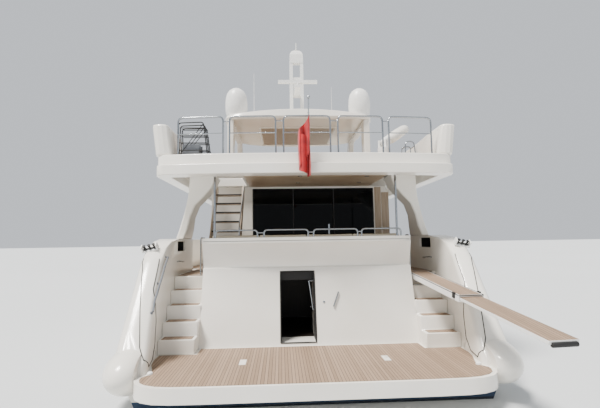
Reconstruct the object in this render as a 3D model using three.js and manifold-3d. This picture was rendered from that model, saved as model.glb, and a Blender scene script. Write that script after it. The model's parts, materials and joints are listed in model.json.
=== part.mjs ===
// Flybridge motor yacht of 27 m, afloat, with its gangway out over the starboard quarter.
// Millimetres. X is starboard, Y is forward, Z is up, and the origin is amidships on the waterline.
import * as THREE from 'three';
import { mergeVertices } from 'three/addons/utils/BufferGeometryUtils.js';
import Module from 'manifold-3d';

const wasm = await Module();
wasm.setup();

// Driving dimensions
const gap = 0.3; // between pieces that touch
const sternY = -13740; // aft edge of the bathing platform
const hullAftY = -13000; // the hull's bottom ends here, under the platform
const cockpitAftY = -10300; // the deck's full height starts here
const bulkheadY = -8000; // salon bulkhead
const deckZ = 2000; // cockpit and after side decks
const platformZ = 590; // top of the bathing platform
const platformBottomZ = 350;
const ledgeZ = 500; // top of the low hull under the platform
const wingInnerX = 3010; // quarter wings that flank the stairs
const wingOuterX = 3440;
const quarterFrontY = -8850; // forward end of the tops of the wings, beside the cockpit
const stairFootY = -11900;
const stairInnerX = 2300; // between transom and stairs
const wingTopZ = 2850;
const ceilingZ = 4390; // underside of the flybridge
const flyZ = 4630; // flybridge sole
const lipZ = 4180; // lower edge of the flybridge's lip
const coamingZ = 5320; // top of the flybridge's side bulwarks
const hardtopZ = 6450;
const roofZ = 3120; // foredeck's coachroof
const wallT = 80; // deckhouse wall
const glassT = 24;

// Materials by finish: colour, roughness, metalness
const finishes = {
  gelcoat: [0xf2f0ea, 0.25, 0],
  teak: [0xb08a62, 0.75, 0],
  glass: [0x0b0d10, 0.08, 0],
  stainless: [0xc9ccd0, 0.2, 1],
  bronze: [0xb08d57, 0.35, 1],
  vinyl: [0xd9d0bb, 0.7, 0],
  cloth: [0xc4161c, 0.8, 0],
};

const yacht = new THREE.Group();

function add(name, solid, finish) {
  const [color, roughness, metalness] = finishes[finish];
  const material = new THREE.MeshStandardMaterial({ color, roughness, metalness });
  const mesh = new THREE.Mesh(geometryOf(solid), material);
  mesh.name = name;
  yacht.add(mesh);
  return mesh;
}

// Solids
function signedVolume(positions, index) {
  let volume = 0;
  const corner = (n) => new THREE.Vector3().fromArray(positions, 3 * index[n]);
  for (let i = 0; i < index.length; i += 3) {
    volume += corner(i).dot(corner(i + 1).cross(corner(i + 2))) / 6;
  }
  return volume;
}

function solidOf(geometry) {
  geometry.deleteAttribute('normal');
  geometry.deleteAttribute('uv');
  const merged = mergeVertices(geometry, 0.001);
  const vertProperties = new Float32Array(merged.attributes.position.array);
  const triVerts = new Uint32Array(merged.index.array);
  if (signedVolume(vertProperties, triVerts) < 0) {
    triVerts.reverse();
  }
  return new wasm.Manifold(new wasm.Mesh({ numProp: 3, vertProperties, triVerts }));
}

function geometryOf(solid) {
  const mesh = solid.getMesh();
  const geometry = new THREE.BufferGeometry();
  geometry.setAttribute('position', new THREE.BufferAttribute(new Float32Array(mesh.vertProperties), 3));
  geometry.setIndex(new THREE.BufferAttribute(new Uint32Array(mesh.triVerts), 1));
  return geometry;
}

function moved(solid, matrix) {
  return solidOf(geometryOf(solid).applyMatrix4(matrix));
}

function shifted(solid, x, y, z) {
  return moved(solid, new THREE.Matrix4().makeTranslation(x, y, z));
}

function mirrored(solid) {
  return moved(solid, new THREE.Matrix4().makeScale(-1, 1, 1));
}

function united(solids) {
  return solids.reduce((whole, next) => whole.add(next));
}

// A closed solid through rings of points that all have the same count
function loft(rings) {
  const count = rings[0].length;
  const positions = rings.flat().flatMap((p) => [p.x, p.y, p.z]);
  const index = [];
  for (let r = 0; r + 1 < rings.length; r += 1) {
    for (let i = 0; i < count; i += 1) {
      const a = r * count + i;
      const b = r * count + ((i + 1) % count);
      index.push(a, b, a + count, b, b + count, a + count);
    }
  }
  for (const [ring, start, turn] of [[rings[0], 0, 1], [rings.at(-1), (rings.length - 1) * count, 0]]) {
    for (const face of capOf(ring)) {
      const [a, b, c] = turn ? face : [...face].reverse();
      index.push(start + c, start + b, start + a);
    }
  }
  const geometry = new THREE.BufferGeometry();
  geometry.setAttribute('position', new THREE.Float32BufferAttribute(positions, 3));
  geometry.setIndex(index);
  return solidOf(geometry);
}

function capOf(ring) {
  const normal = new THREE.Vector3();
  ring.forEach((p, i) => normal.add(new THREE.Vector3().crossVectors(p, ring[(i + 1) % ring.length])));
  const flatten = new THREE.Quaternion().setFromUnitVectors(normal.normalize(), new THREE.Vector3(0, 0, 1));
  const flat = ring.map((p) => p.clone().applyQuaternion(flatten));
  return THREE.ShapeUtils.triangulateShape(flat.map((p) => new THREE.Vector2(p.x, p.y)), []);
}

function extruded(points, depth) {
  const shape = new THREE.Shape(points.map(([u, v]) => new THREE.Vector2(u, v)));
  return new THREE.ExtrudeGeometry(shape, { depth, bevelEnabled: false });
}

// An outline in X and Y, extruded upwards
function plate(points, z0, z1) {
  return solidOf(extruded(points, z1 - z0).translate(0, 0, z0));
}

// An outline in Y and Z, extruded to starboard
function sidePlate(points, x0, x1) {
  const turn = new THREE.Matrix4().set(0, 0, 1, x0, 1, 0, 0, 0, 0, 1, 0, 0, 0, 0, 0, 1);
  return solidOf(extruded(points, x1 - x0).applyMatrix4(turn));
}

// An outline in X and Z, extruded forwards
function crossPlate(points, y0, y1) {
  const turn = new THREE.Matrix4().set(1, 0, 0, 0, 0, 0, 1, y0, 0, 1, 0, 0, 0, 0, 0, 1);
  return solidOf(extruded(points, y1 - y0).applyMatrix4(turn));
}

function block(x0, x1, y0, y1, z0, z1) {
  const box = new THREE.BoxGeometry(x1 - x0, y1 - y0, z1 - z0);
  return solidOf(box.translate((x0 + x1) / 2, (y0 + y1) / 2, (z0 + z1) / 2));
}

// A round bar between two points
function bar(from, to, radius, sides = 8) {
  return tube([from, to], radius, sides);
}

// A round tube along straight stretches, mitred where they meet
function tube(points, radius, sides = 8) {
  const path = points.map((p) => new THREE.Vector3(...p));
  const ways = path.slice(1).map((p, i) => p.clone().sub(path[i]).normalize());
  let side = new THREE.Vector3(0, 0, 1).cross(ways[0]);
  if (side.length() < 0.1) {
    side = new THREE.Vector3(1, 0, 0).cross(ways[0]);
  }
  const rings = path.map((p, i) => {
    const before = ways[Math.max(i - 1, 0)];
    const after = ways[Math.min(i, ways.length - 1)];
    const facing = before.clone().add(after).normalize();
    side.addScaledVector(before, -side.dot(before)).normalize();
    const up = before.clone().cross(side);
    return Array.from({ length: sides }, (_, k) => {
      const angle = (2 * Math.PI * (k + 0.5)) / sides;
      const spoke = side.clone().multiplyScalar(Math.cos(angle)).addScaledVector(up, Math.sin(angle));
      spoke.multiplyScalar(radius);
      const along = -spoke.dot(facing) / before.dot(facing);
      return p.clone().add(spoke).addScaledVector(before, along);
    });
  });
  return loft(rings);
}

// A path with its corners rounded to a radius
function rounded(points, radius, steps = 3) {
  const path = points.map((p) => new THREE.Vector3(...p));
  const out = [path[0]];
  for (let i = 1; i + 1 < path.length; i += 1) {
    const back = path[i - 1].clone().sub(path[i]);
    const ahead = path[i + 1].clone().sub(path[i]);
    const reach = Math.min(radius, 0.49 * back.length(), 0.49 * ahead.length());
    const start = path[i].clone().add(back.setLength(reach));
    const end = path[i].clone().add(ahead.setLength(reach));
    out.push(...new THREE.QuadraticBezierCurve3(start, path[i], end).getPoints(steps));
  }
  out.push(path.at(-1));
  return out.map((p) => p.toArray());
}

// A solid of revolution about an upright axis, from pairs of radius and height
function turned(profile, x, y, z, segments = 20) {
  const points = profile.map(([r, h]) => new THREE.Vector2(r, h));
  const lathe = new THREE.LatheGeometry(points, segments).rotateX(Math.PI / 2);
  return solidOf(lathe.translate(x, y, z));
}

// A flat outline that is the same on both sides, from its starboard half
function bothSides(half) {
  const other = half.filter(([x]) => x > 0).map(([x, y]) => [-x, y]).reverse();
  return [...half, ...other];
}

// The same outline drawn in by a distance
function offset(outline, by) {
  const turn = Math.sign(THREE.ShapeUtils.area(outline.map(([x, y]) => new THREE.Vector2(x, y))));
  return outline.map(([x, y], i) => {
    const [fromX, fromY] = outline.at(i - 1);
    const [toX, toY] = outline[(i + 1) % outline.length];
    const before = new THREE.Vector2(fromY - y, x - fromX).normalize();
    const after = new THREE.Vector2(y - toY, toX - x).normalize();
    const normal = before.clone().add(after).normalize();
    const reach = (turn * by) / Math.max(0.3, normal.dot(after));
    return [x + normal.x * reach, y + normal.y * reach];
  });
}

// Hull form: one row for each station, half of it, from keel to deck edge
// y | keel z | chine x, z | middle x, z | deck x, z
const stations = [
  [-13000, -820, 2990, -90, 3330, 850, 3430, 2000],
  [-11000, -870, 3030, -100, 3380, 900, 3450, 2000],
  [-8000, -950, 3100, -120, 3470, 950, 3530, 2000],
  [-4000, -1020, 3120, -100, 3500, 1000, 3550, 2000],
  [0, -1080, 3100, -20, 3490, 1050, 3550, 2060],
  [3500, -1100, 2950, 120, 3380, 1200, 3500, 2230],
  [6500, -1050, 2450, 350, 3050, 1450, 3300, 2480],
  [9000, -850, 1700, 620, 2450, 1750, 2850, 2760],
  [11000, -450, 950, 950, 1650, 2050, 2150, 3000],
  [12400, 350, 420, 1350, 900, 2350, 1350, 3170],
  [13400, 1750, 120, 2100, 350, 2800, 620, 3270],
  [13700, 2450, 30, 2600, 60, 3000, 120, 3300],
];
const stationForm = new THREE.CubicInterpolant(
  stations.map((row) => row[0]),
  stations.flatMap((row) => row.slice(1)),
  7,
);
const hullYs = [
  -13000, -12000, -11000, -9500, -8000, -6000, -4000, -2000, 0, 1750, 3500, 5000, 6500, 7750, 9000,
  10000, 11000, 11700, 12400, 12950, 13400, 13700,
];

function stationAt(y) {
  const [keelZ, chineX, chineZ, midX, midZ, edgeX, edgeZ] = stationForm.evaluate(y);
  return { keelZ, chineX, chineZ, midX, midZ, edgeX, edgeZ };
}

function hullRing(y) {
  const s = stationAt(y);
  const pull = [2 * s.midX - (s.chineX + s.edgeX) / 2, 2 * s.midZ - (s.chineZ + s.edgeZ) / 2];
  const start = new THREE.Vector2(s.chineX, s.chineZ);
  const end = new THREE.Vector2(s.edgeX, s.edgeZ);
  const topside = new THREE.QuadraticBezierCurve(start, new THREE.Vector2(...pull), end).getPoints(4);
  const half = topside.map((p) => [p.x, p.y]);
  const ring = [[0, s.keelZ], ...half, ...half.map(([x, z]) => [-x, z]).reverse()];
  return ring.map(([x, z]) => new THREE.Vector3(x, y, z));
}

// Half the hull's width at a height above the chine
function hullSideX(y, z) {
  const side = hullRing(y).slice(1, 6);
  const height = Math.min(z, side.at(-1).z);
  const i = Math.max(1, side.findIndex((p) => p.z >= height));
  const share = (height - side[i - 1].z) / (side[i].z - side[i - 1].z);
  return THREE.MathUtils.lerp(side[i - 1].x, side[i].x, share);
}

// The crew lobby behind the transom door
const lobby = { x0: -900, x1: 700, y0: -10990, y1: -8600, z0: 640, z1: 1900 };
const hullForm = loft(hullYs.map(hullRing));
const sternCut = block(-4000, 4000, -14000, cockpitAftY, ledgeZ, 4000);
// Running gear: the propellers' place, the rise of the shafts and the rudders' place
const gear = { x: 1250, y: -11640, z: -1320, tilt: Math.atan(0.166), hubFront: 60 };
const rudderY = -12350;
const bossZ = -600;
const lobbyCut = block(lobby.x0, lobby.x1, -11000, lobby.y1, lobby.z0, lobby.z1);
const roofHalf = [[0, 6900], [1300, 6900], [1500, 7100], [1300, 9900], [1000, 10200], [0, 10300]];
const roofRing = (z, k) => bothSides(roofHalf).map(([x, y]) => new THREE.Vector3(k * x, y, z));
const coachroof = loft([roofRing(2300, 1), roofRing(roofZ, 0.95)]);
const rudderBosses = [-1, 1].map((side) => (
  bar([side * gear.x, rudderY, bossZ], [side * gear.x, rudderY, -300], 75, 12)));
add('hull', united([hullForm.subtract(sternCut).subtract(lobbyCut), coachroof, ...rudderBosses]), 'gelcoat');
const seatOnDeck = (solid) => solid.subtract(shifted(hullForm, 0, 0, gap));

// Bulwarks: a wall on the deck's edge, from the quarter wings to the stem
// y | top z
const bulwarkTops = [
  [quarterFrontY, wingTopZ], [-8000, 2850], [-4000, 2870], [0, 2930], [3500, 3060], [6500, 3280],
  [9000, 3500], [11000, 3660], [12400, 3740], [13400, 3780], [13700, 3780],
];
const bulwarkTop = new THREE.LinearInterpolant(
  bulwarkTops.map((row) => row[0]),
  bulwarkTops.map((row) => row[1]),
  1,
);
const bulwarkT = 90;

function bulwarkRing(y) {
  const s = stationAt(y);
  const top = bulwarkTop.evaluate(y)[0];
  const flare = 0.12 * (top - s.edgeZ) * THREE.MathUtils.smoothstep(y, 0, 11000);
  const inner = (x) => Math.max(x - bulwarkT, gap);
  return [
    new THREE.Vector3(s.edgeX, y, s.edgeZ + gap),
    new THREE.Vector3(s.edgeX + flare, y, top),
    new THREE.Vector3(inner(s.edgeX + flare), y, top),
    new THREE.Vector3(inner(s.edgeX), y, s.edgeZ + gap),
  ];
}
const bulwarkYs = [quarterFrontY + gap, ...hullYs.filter((y) => y > quarterFrontY + 100)];
const bulwark = loft(bulwarkYs.map(bulwarkRing));
add('bulwark_starboard', bulwark, 'gelcoat');
add('bulwark_port', mirrored(bulwark), 'gelcoat');

// Quarter wings: the hull's sides sweep down aft to a rounded nose beside the platform
// z | aft end y | inner x at the aft end
const wingRows = [
  [ledgeZ + gap, -13130, 2840], [700, -13120, 2850], [900, -12950, 2880], [1270, -12650, 2930],
  [1780, -12250, 2980], [2350, -11800, wingInnerX], [2640, -11450, wingInnerX], [2790, -11000, wingInnerX],
  [wingTopZ, cockpitAftY - 60, wingInnerX],
];
const wingFrontY = cockpitAftY - gap;
// distance in from the side, negative at the inner one | distance forward of the aft end
const wingCorner = [[0, 200], [18, 100], [70, 26], [150, 0], [-60, 16], [-14, 70], [0, 160]];

function wingRing([z, aftY, innerX]) {
  const k = Math.min(1, (wingFrontY - aftY) / 420);
  const round = wingCorner.map(([inset, forward], i) => {
    const side = i < 4 ? wingOuterX : innerX;
    return [side - inset, aftY + k * forward];
  });
  const bend = Math.max(THREE.MathUtils.lerp(aftY + k * 160, wingFrontY, 0.35), stairFootY - 50);
  const root = [hullSideX(cockpitAftY, z), wingFrontY];
  const plan = [root, ...round, [wingInnerX, bend], [wingInnerX, wingFrontY]];
  return plan.map(([x, y]) => new THREE.Vector3(x, y, z));
}
const nose = new THREE.SphereGeometry(1, 28, 18);
nose.rotateX(Math.PI / 2).scale(410, 700, 380).translate(3180, -12740, 600);
const noseCut = block(2000, 4000, hullAftY - gap, -10000, 0, ledgeZ + gap)
  .add(block(2000, 2960, -14000, -10000, 0, 2000));
const fairlead = block(wingInnerX - 10, wingInnerX + 320, -10450, -9700, 2550, 2790);
const quarter = loft([wingFrontY - 1, quarterFrontY].map((y) => {
  const outerX = stationAt(y).edgeX;
  const foot = deckZ + gap;
  const section = [[wingInnerX, foot], [outerX, foot], [outerX, wingTopZ], [wingInnerX, wingTopZ]];
  return section.map(([x, z]) => new THREE.Vector3(x, y, z));
}));
const wingBody = united([loft(wingRows.map(wingRing)), quarter, solidOf(nose).subtract(noseCut)]);
const wing = wingBody.subtract(fairlead);
add('quarter_wing_starboard', wing, 'gelcoat');
add('quarter_wing_port', mirrored(wing), 'gelcoat');

// Bathing platform, with two pads for a tender's chocks
const platformAft = bothSides([
  [0, sternY], [1800, sternY], [2300, sternY + 15], [2560, sternY + 55], [2750, sternY + 140],
  [2880, sternY + 270], [2960, sternY + 440], [3000, hullAftY - gap],
]);
const ledgeHalf = wingInnerX - gap;
const foreEnds = [hullAftY - gap - 1, cockpitAftY - gap];
const platformFore = block(-ledgeHalf, ledgeHalf, ...foreEnds, ledgeZ + gap, platformZ);
const chockPads = [-1300, 1300].map((x) => (
  block(x - 60, x + 60, -12700, -12400, platformZ - 5, platformZ + 15)));
const platform = united([plate(platformAft, platformBottomZ, platformZ), platformFore, ...chockPads]);
const wingRoom = shifted(wing, -gap, 0, 0);
add('swim_platform', platform.subtract(wingRoom).subtract(mirrored(wingRoom)), 'gelcoat');

// Stairs on both sides, five risers each
const riser = (deckZ - platformZ - gap) / 5;
const tread = 300;
const stairSide = [[cockpitAftY - gap, platformZ + gap]];
for (let i = 0; i < 5; i += 1) {
  const y = stairFootY + i * tread;
  stairSide.push([y, platformZ + gap + i * riser], [y, platformZ + gap + (i + 1) * riser]);
}
stairSide.push([cockpitAftY - gap, deckZ]);
const stairs = sidePlate(stairSide, stairInnerX + gap, wingInnerX - gap);
add('stairs_starboard', stairs, 'gelcoat');
add('stairs_port', mirrored(stairs), 'gelcoat');

// Transom with the lobby's door opening, and its cap
const transomTopZ = 2730;
const capZ = 2840;
const seatBackY = -10750;
const transomSide = [
  [cockpitAftY - gap, platformZ + gap], [-11480, platformZ + gap], [-11060, 2170], [-11000, 2200],
  [-11160, transomTopZ], [seatBackY, transomTopZ], [seatBackY, deckZ], [cockpitAftY - gap, deckZ],
];
const doorway = { x0: -605, x1: 120, z0: 650, z1: 2080 };
const transom = sidePlate(transomSide, -stairInnerX, stairInnerX)
  .subtract(block(lobby.x0, lobby.x1, lobby.y0, cockpitAftY, lobby.z0, lobby.z1))
  .subtract(block(doorway.x0, doorway.x1, -12000, lobby.y0 + 1, doorway.z0, doorway.z1));
const capHalf = [
  [0, -11330], [900, -11310], [1700, -11250], [2150, -11170], [2330, -11050], [2380, -10900], [2330, -10700],
];
const cap = plate(bothSides(capHalf), transomTopZ - 5, capZ)
  .subtract(block(stairInnerX, 2400, -12000, -10000, 0, transomTopZ));
const doorAxis = { x: doorway.x1 + 30, y: lobby.y0 + 36 };
const doorFootZ = lobby.z0 + 6;
const pinAt = (z) => [doorAxis.x, doorAxis.y, z];
const doorPivot = bar(pinAt(lobby.z0 - 10), pinAt(doorFootZ - gap), 14, 12);
add('transom', united([transom, cap, doorPivot]), 'gelcoat');

// Crew door: a leaf hinged at starboard that opens into the lobby, shown open
const leafHalf = 22;
const leafEnds = [doorAxis.y - leafHalf, doorAxis.y + 780];
const leaf = block(doorAxis.x - leafHalf, doorAxis.x + leafHalf, ...leafEnds, doorFootZ, lobby.z1 - 10);
add('transom_door', leaf, 'gelcoat');

// Cockpit sofa with its cushions, and the table
const sofaBase = block(-2200, 2200, seatBackY + gap, seatBackY + 640, deckZ + gap, deckZ + 330);
add('cockpit_sofa', sofaBase, 'gelcoat');
const seatPad = block(-2180, 2180, seatBackY + 60, seatBackY + 650, deckZ + 330 + gap, deckZ + 460);
const backPad = block(-2180, 2180, seatBackY + 60, seatBackY + 215, deckZ + 400, 2900);
add('cockpit_cushions', seatPad.add(backPad), 'vinyl');
const tableLeg = turned([[0, 0], [210, 0], [210, 20], [55, 40], [55, 690], [0, 690]], 0, -9400, deckZ + gap);
const tableHalf = [[0, -9780], [900, -9780], [1000, -9680], [1000, -9120], [900, -9020], [0, -9020]];
const tableTop = plate(bothSides(tableHalf), deckZ + 690, deckZ + 735);
add('cockpit_table', tableLeg.add(tableTop), 'teak');

// Deckhouse shell: starboard half of its outline at the deck and at its top, from aft
// x, y low | x, y high
const houseRows = [
  [2760, bulkheadY, 2620, bulkheadY], [2760, -3000, 2620, -3000], [2760, 500, 2600, -500],
  [2660, 2600, 2480, 1200], [2380, 4200, 2180, 2100], [1800, 5450, 1600, 2750], [950, 6250, 850, 3100],
];
const houseLowZ = 1900;

function houseRing(z, column, inset) {
  const half = houseRows.map((row) => [row[column], row[column + 1]]);
  const all = [...half, ...half.map(([x, y]) => [-x, y]).reverse()];
  return offset(all, inset).map(([x, y]) => new THREE.Vector3(x, y, z));
}

function houseSolid(inset) {
  return loft([houseRing(houseLowZ, 0, inset), houseRing(ceilingZ - gap, 2, inset)]);
}
const houseCore = houseSolid(wallT);
const overlong = block(-4000, 4000, bulkheadY - 500, bulkheadY + wallT + 1, 0, 9000);
const houseWalls = seatOnDeck(houseSolid(0).subtract(houseCore).subtract(overlong));
const windowBand = [
  [-7400, 2900], [-7400, 3750], [-6900, 3950], [500, 3950], [1500, 3700], [2300, 3250], [2300, 2950],
];
const sideWindow = sidePlate(windowBand, 2000, 3200);
const screenBand = bothSides([[0, 3300], [1500, 3300], [1900, 3500], [1750, 4130], [0, 4150]]);
const screenWindow = crossPlate(screenBand, 1500, 7000);
const frontFrom = 2400;
const frontBlock = block(-4000, 4000, frontFrom + gap, 8000, 0, 9000);
const starboardBlock = block(gap, 4000, -9000, frontFrom, 0, 9000);
const sideWall = houseWalls.intersect(starboardBlock).subtract(sideWindow);
add('deckhouse_starboard', sideWall, 'gelcoat');
add('deckhouse_port', mirrored(sideWall), 'gelcoat');
add('deckhouse_front', houseWalls.intersect(frontBlock).subtract(screenWindow), 'gelcoat');
const glassShell = houseSolid(15).subtract(houseSolid(15 + glassT));
const sidePane = sidePlate(offset(windowBand, gap), 2000, 3200);
const sideGlass = glassShell.intersect(sidePane).intersect(starboardBlock);
add('side_glass_starboard', sideGlass, 'glass');
add('side_glass_port', mirrored(sideGlass), 'glass');
const screenPane = crossPlate(offset(screenBand, gap), 1500, 7000);
add('windscreen', glassShell.intersect(screenPane).intersect(frontBlock), 'glass');

// Salon bulkhead with its glass doors
const entry = { x0: -1430, x1: 2230, z1: 4340 };
const houseZ = [deckZ + gap, ceilingZ - gap];
const bulkheadFace = bothSides([[0, houseZ[0]], [2750, houseZ[0]], [2622, houseZ[1]], [0, houseZ[1]]]);
const bulkhead = crossPlate(bulkheadFace, bulkheadY, bulkheadY + wallT);
add('aft_bulkhead', bulkhead.subtract(block(entry.x0, entry.x1, -9000, -7000, 1900, entry.z1)), 'gelcoat');
const panelW = (entry.x1 - entry.x0) / 3;
const entrySides = [entry.x0 + gap, entry.x1 - gap];
const framing = block(...entrySides, bulkheadY, bulkheadY + 36, deckZ + gap, entry.z1 - gap);
const wayIn = block(entry.x0 + panelW, entry.x1 - panelW, -9000, -7000, deckZ + 30, entry.z1 - 30);
add('salon_door_frame', framing.subtract(wayIn), 'glass');
const slideY = bulkheadY + 42;
const leafSides = [entry.x0 + panelW - 20, entry.x1 - panelW + 20];
add('salon_door_leaf', block(...leafSides, slideY, slideY + 32, deckZ + 0.8, entry.z1 - 6), 'glass');

// Stairs from the cockpit to the flybridge, at port against the bulkhead
const flyStair = { x0: -2450, x1: -1650, y0: -9900, y1: -8250, steps: 9 };
const rise = (flyZ - deckZ) / (flyStair.steps + 1);
const run = (flyStair.y1 - flyStair.y0) / flyStair.steps;
const flySteps = [];
for (let i = 0; i < flyStair.steps; i += 1) {
  const y = flyStair.y0 + i * run;
  const z = deckZ + (i + 1) * rise;
  flySteps.push(block(flyStair.x0 + 30, flyStair.x1 - 30, y, y + run + 40, z - 45, z));
}
const stringerSide = [
  [flyStair.y0, deckZ + gap], [flyStair.y0 - 60, deckZ + rise + 40], [flyStair.y1 - run, ceilingZ - 20],
  [flyStair.y1, ceilingZ - 20], [flyStair.y1 + 60, ceilingZ - 150], [flyStair.y0 + 260, deckZ + gap],
];
const stringers = [flyStair.x0, flyStair.x1 - 40].map((x) => sidePlate(stringerSide, x, x + 40));
add('flybridge_stairs', united([...stringers, ...flySteps.slice(0, 8)]), 'gelcoat');

// Raked pillars between the bulwarks and the flybridge
// z | inner x | outer x | aft y | front y
const pillarRows = [
  [wingTopZ + gap, 3015, 3200, -9900, -8900], [3090, 2910, 3110, -9930, -9150],
  [3400, 2830, 3010, -9970, -9330], [3680, 2700, 2930, -10020, -9420], [3870, 2500, 2880, -10060, -9470],
  [4100, 2280, 2840, -10130, -9500], [ceilingZ - gap, 2150, 2800, -10250, -9500],
];
const pillar = loft(pillarRows.map(([z, x0, x1, y0, y1]) => (
  [[x1, y0], [x1, y1], [x0, y1], [x0, y0]].map(([x, y]) => new THREE.Vector3(x, y, z)))));
add('side_pillar_starboard', pillar, 'gelcoat');
add('side_pillar_port', mirrored(pillar), 'gelcoat');

// Flybridge deck: slab with a lip under its edge
const flyHalf = [
  [0, -11650], [1400, -11620], [2500, -11540], [3060, -11470], [3210, -11370], [3270, -11200], [3270, -2000],
  [3050, 1000], [2600, 2600], [1700, 3500], [0, 3750],
];
const flySlab = plate(bothSides(flyHalf), ceilingZ, flyZ);
const lipHalf = flyHalf.map(([x, y]) => [x, y < -10900 ? y - 90 : y]);
const lip = plate(bothSides(lipHalf), lipZ, ceilingZ + 10)
  .subtract(plate(offset(bothSides(flyHalf), 290), 4000, 5000))
  .subtract(block(-4000, 4000, -1500, 5000, 4000, ceilingZ));
const stairHatch = block(-2520, -1580, -9750, -8200, 4000, 5000);
const flyDeck = flySlab.add(lip).subtract(stairHatch);
add('flybridge_deck', flyDeck, 'gelcoat');

// Flybridge bulwark: thick at its after ends, and round the front, with a screen on its front
// x at the foot | x at the top | y
const coamingRows = [
  [0, 0, 3700], [1680, 1680, 3450], [2560, 2560, 2560], [3010, 3010, 1000], [3230, 3250, -2000],
  [3250, 3300, -8000], [3305, 3390, -10900], [3300, 3390, -11240], [3255, 3340, -11370],
  [3170, 3240, -11425], [3060, 3150, -11430], [2960, 3060, -11400], [2925, 3025, -11330],
  [2925, 3025, -10500], [3010, 3080, -9600], [3030, 3040, -2000], [2830, 2830, 900], [2380, 2380, 2440],
  [1580, 1580, 3270], [0, 0, 3500],
];

function coamingRing(z, column) {
  const half = coamingRows.map((row) => [row[column], row[2]]);
  const plan = [...half, ...half.slice(1, -1).map(([x, y]) => [-x, y]).reverse()];
  return plan.map(([x, y]) => new THREE.Vector3(x, y, z));
}
add('fly_bulwark', loft([coamingRing(flyZ + gap, 0), coamingRing(coamingZ, 1)]), 'gelcoat');

function ringOfBoth(outer, inner) {
  const left = (row) => row.map(([x, y]) => [-x, y]);
  return [...left(outer).reverse(), ...outer.slice(1), ...[...inner].reverse(), ...left(inner).slice(1)];
}
const screenOuter = [[0, 3640], [1650, 3400], [2500, 2570]];
const screenRing = ringOfBoth(screenOuter, [[0, 3616], [1640, 3376], [2476, 2553]]);
const screenLow = screenRing.map(([x, y]) => new THREE.Vector3(x, y, coamingZ + gap));
const screenHigh = screenRing.map(([x, y]) => new THREE.Vector3(0.97 * x, y - 260, coamingZ + 420));
add('fly_windscreen', loft([screenLow, screenHigh]), 'glass');

// Hoop rails of bent tube, joined by short links
const railR = 19;

function hoopRail(rows, footZ, link) {
  const hoops = rows.map(([x0, y0, x1, y1, topZ]) => tube(
    rounded([[x0, y0, footZ(x0)], [x0, y0, topZ], [x1, y1, topZ], [x1, y1, footZ(x1)]], 110, 4), railR));
  const links = rows.slice(1).map((row, i) => {
    const last = rows[i];
    const z = Math.min(last[4], row[4]) - link;
    return bar([last[2], last[3], z], [row[0], row[1], z], 12, 6);
  });
  return united([...hoops, ...links]);
}
// x and y of one foot | of the other | top z
const capRailRows = [
  [-2050, -10955, -1115, -11005, 3010], [-970, -11010, 20, -11018, 3010], [140, -11018, 1140, -11005, 3010],
  [1230, -11000, 2150, -10945, 3010],
];
add('transom_rail', hoopRail(capRailRows, () => capZ + gap, 60), 'stainless');
const flyRailZ = 5475;
const flyRailRows = [
  [-2810, -11330, -1820, -11425, flyRailZ], [-1680, -11440, -680, -11480, flyRailZ],
  [-510, -11485, 510, -11485, flyRailZ], [680, -11480, 1680, -11440, flyRailZ],
  [1820, -11425, 2810, -11330, flyRailZ],
];
const flyRail = hoopRail(flyRailRows, () => flyZ + gap, 110);
const midRailZ = 5107;
const midRails = flyRailRows.map(([x0, y0, x1, y1]) => bar([x0, y0, midRailZ], [x1, y1, midRailZ], 12, 6));
add('fly_aft_rail', united([flyRail, ...midRails]), 'stainless');

// Hardtop, its posts, and what stands on it
// x | aft y | front y
const hardtopRows = [
  [0, -8250, -4480], [600, -8245, -4520], [1200, -8235, -4600], [1700, -8215, -4780], [2050, -8160, -5050],
  [2200, -8060, -5350], [2270, -7850, -5650],
];
const crownZ = 6755;
const hardtopSideZ = 6560;
const hardtopTop = (x) => crownZ - (crownZ - hardtopSideZ) * (x / 2270) ** 2;

function hardtopRing(x, aftY, frontY) {
  const top = hardtopTop(x);
  const section = [
    [aftY + 60, hardtopZ], [frontY - 60, hardtopZ], [frontY, hardtopZ + 50], [frontY - 90, top],
    [aftY + 50, top], [aftY, hardtopZ + 60],
  ];
  return section.map(([y, z]) => new THREE.Vector3(x, y, z));
}
const hardtopRings = [
  ...hardtopRows.slice(1).reverse().map(([x, aftY, frontY]) => hardtopRing(-x, aftY, frontY)),
  ...hardtopRows.map((row) => hardtopRing(...row)),
];
const hardtop = loft(hardtopRings).add(block(800, 1000, -6100, -5900, hardtopZ + 100, crownZ + 5));
add('hardtop', hardtop, 'gelcoat');
const seatOnHardtop = (solid) => solid.subtract(shifted(hardtop, 0, 0, gap));
// foot y | head y, for the aft and the front post of a side
const postRows = [[-8150, -8080, 450], [-4700, -5500, 420]];
const footLevel = flyZ + gap;
const headLevel = hardtopZ - gap;
const frameX = [1990, 2170];
const posts = postRows.map(([footY, headY, width]) => {
  const foot = [[footY, footLevel], [footY + width, footLevel]];
  return sidePlate([...foot, [headY + width, headLevel], [headY, headLevel]], ...frameX);
});
const topBeam = block(...frameX, -8080, -5100, hardtopZ - 90, headLevel);
add('hardtop_frame_starboard', united([...posts, topBeam]), 'gelcoat');
add('hardtop_frame_port', mirrored(united([...posts, topBeam])), 'gelcoat');
// radius | height
const domeProfile = [
  [0, -60], [300, -60], [305, 60], [325, 110], [343, 260], [345, 420], [332, 580], [298, 720], [232, 830],
  [130, 903], [0, 930],
];
const domeZ = 6620;
const radome = seatOnHardtop(turned(domeProfile, 1935, -7750, domeZ));
add('radome_starboard', radome, 'gelcoat');
add('radome_port', mirrored(radome), 'gelcoat');
const mastY = -6700;
const mastFootZ = hardtopZ + 50;
const mastHeadZ = 8850;
const mastSide = [
  [mastY - 160, mastFootZ], [mastY + 260, mastFootZ], [mastY + 60, mastHeadZ], [mastY - 120, mastHeadZ],
];
const mastLeg = sidePlate(mastSide, 0, 110);
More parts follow.
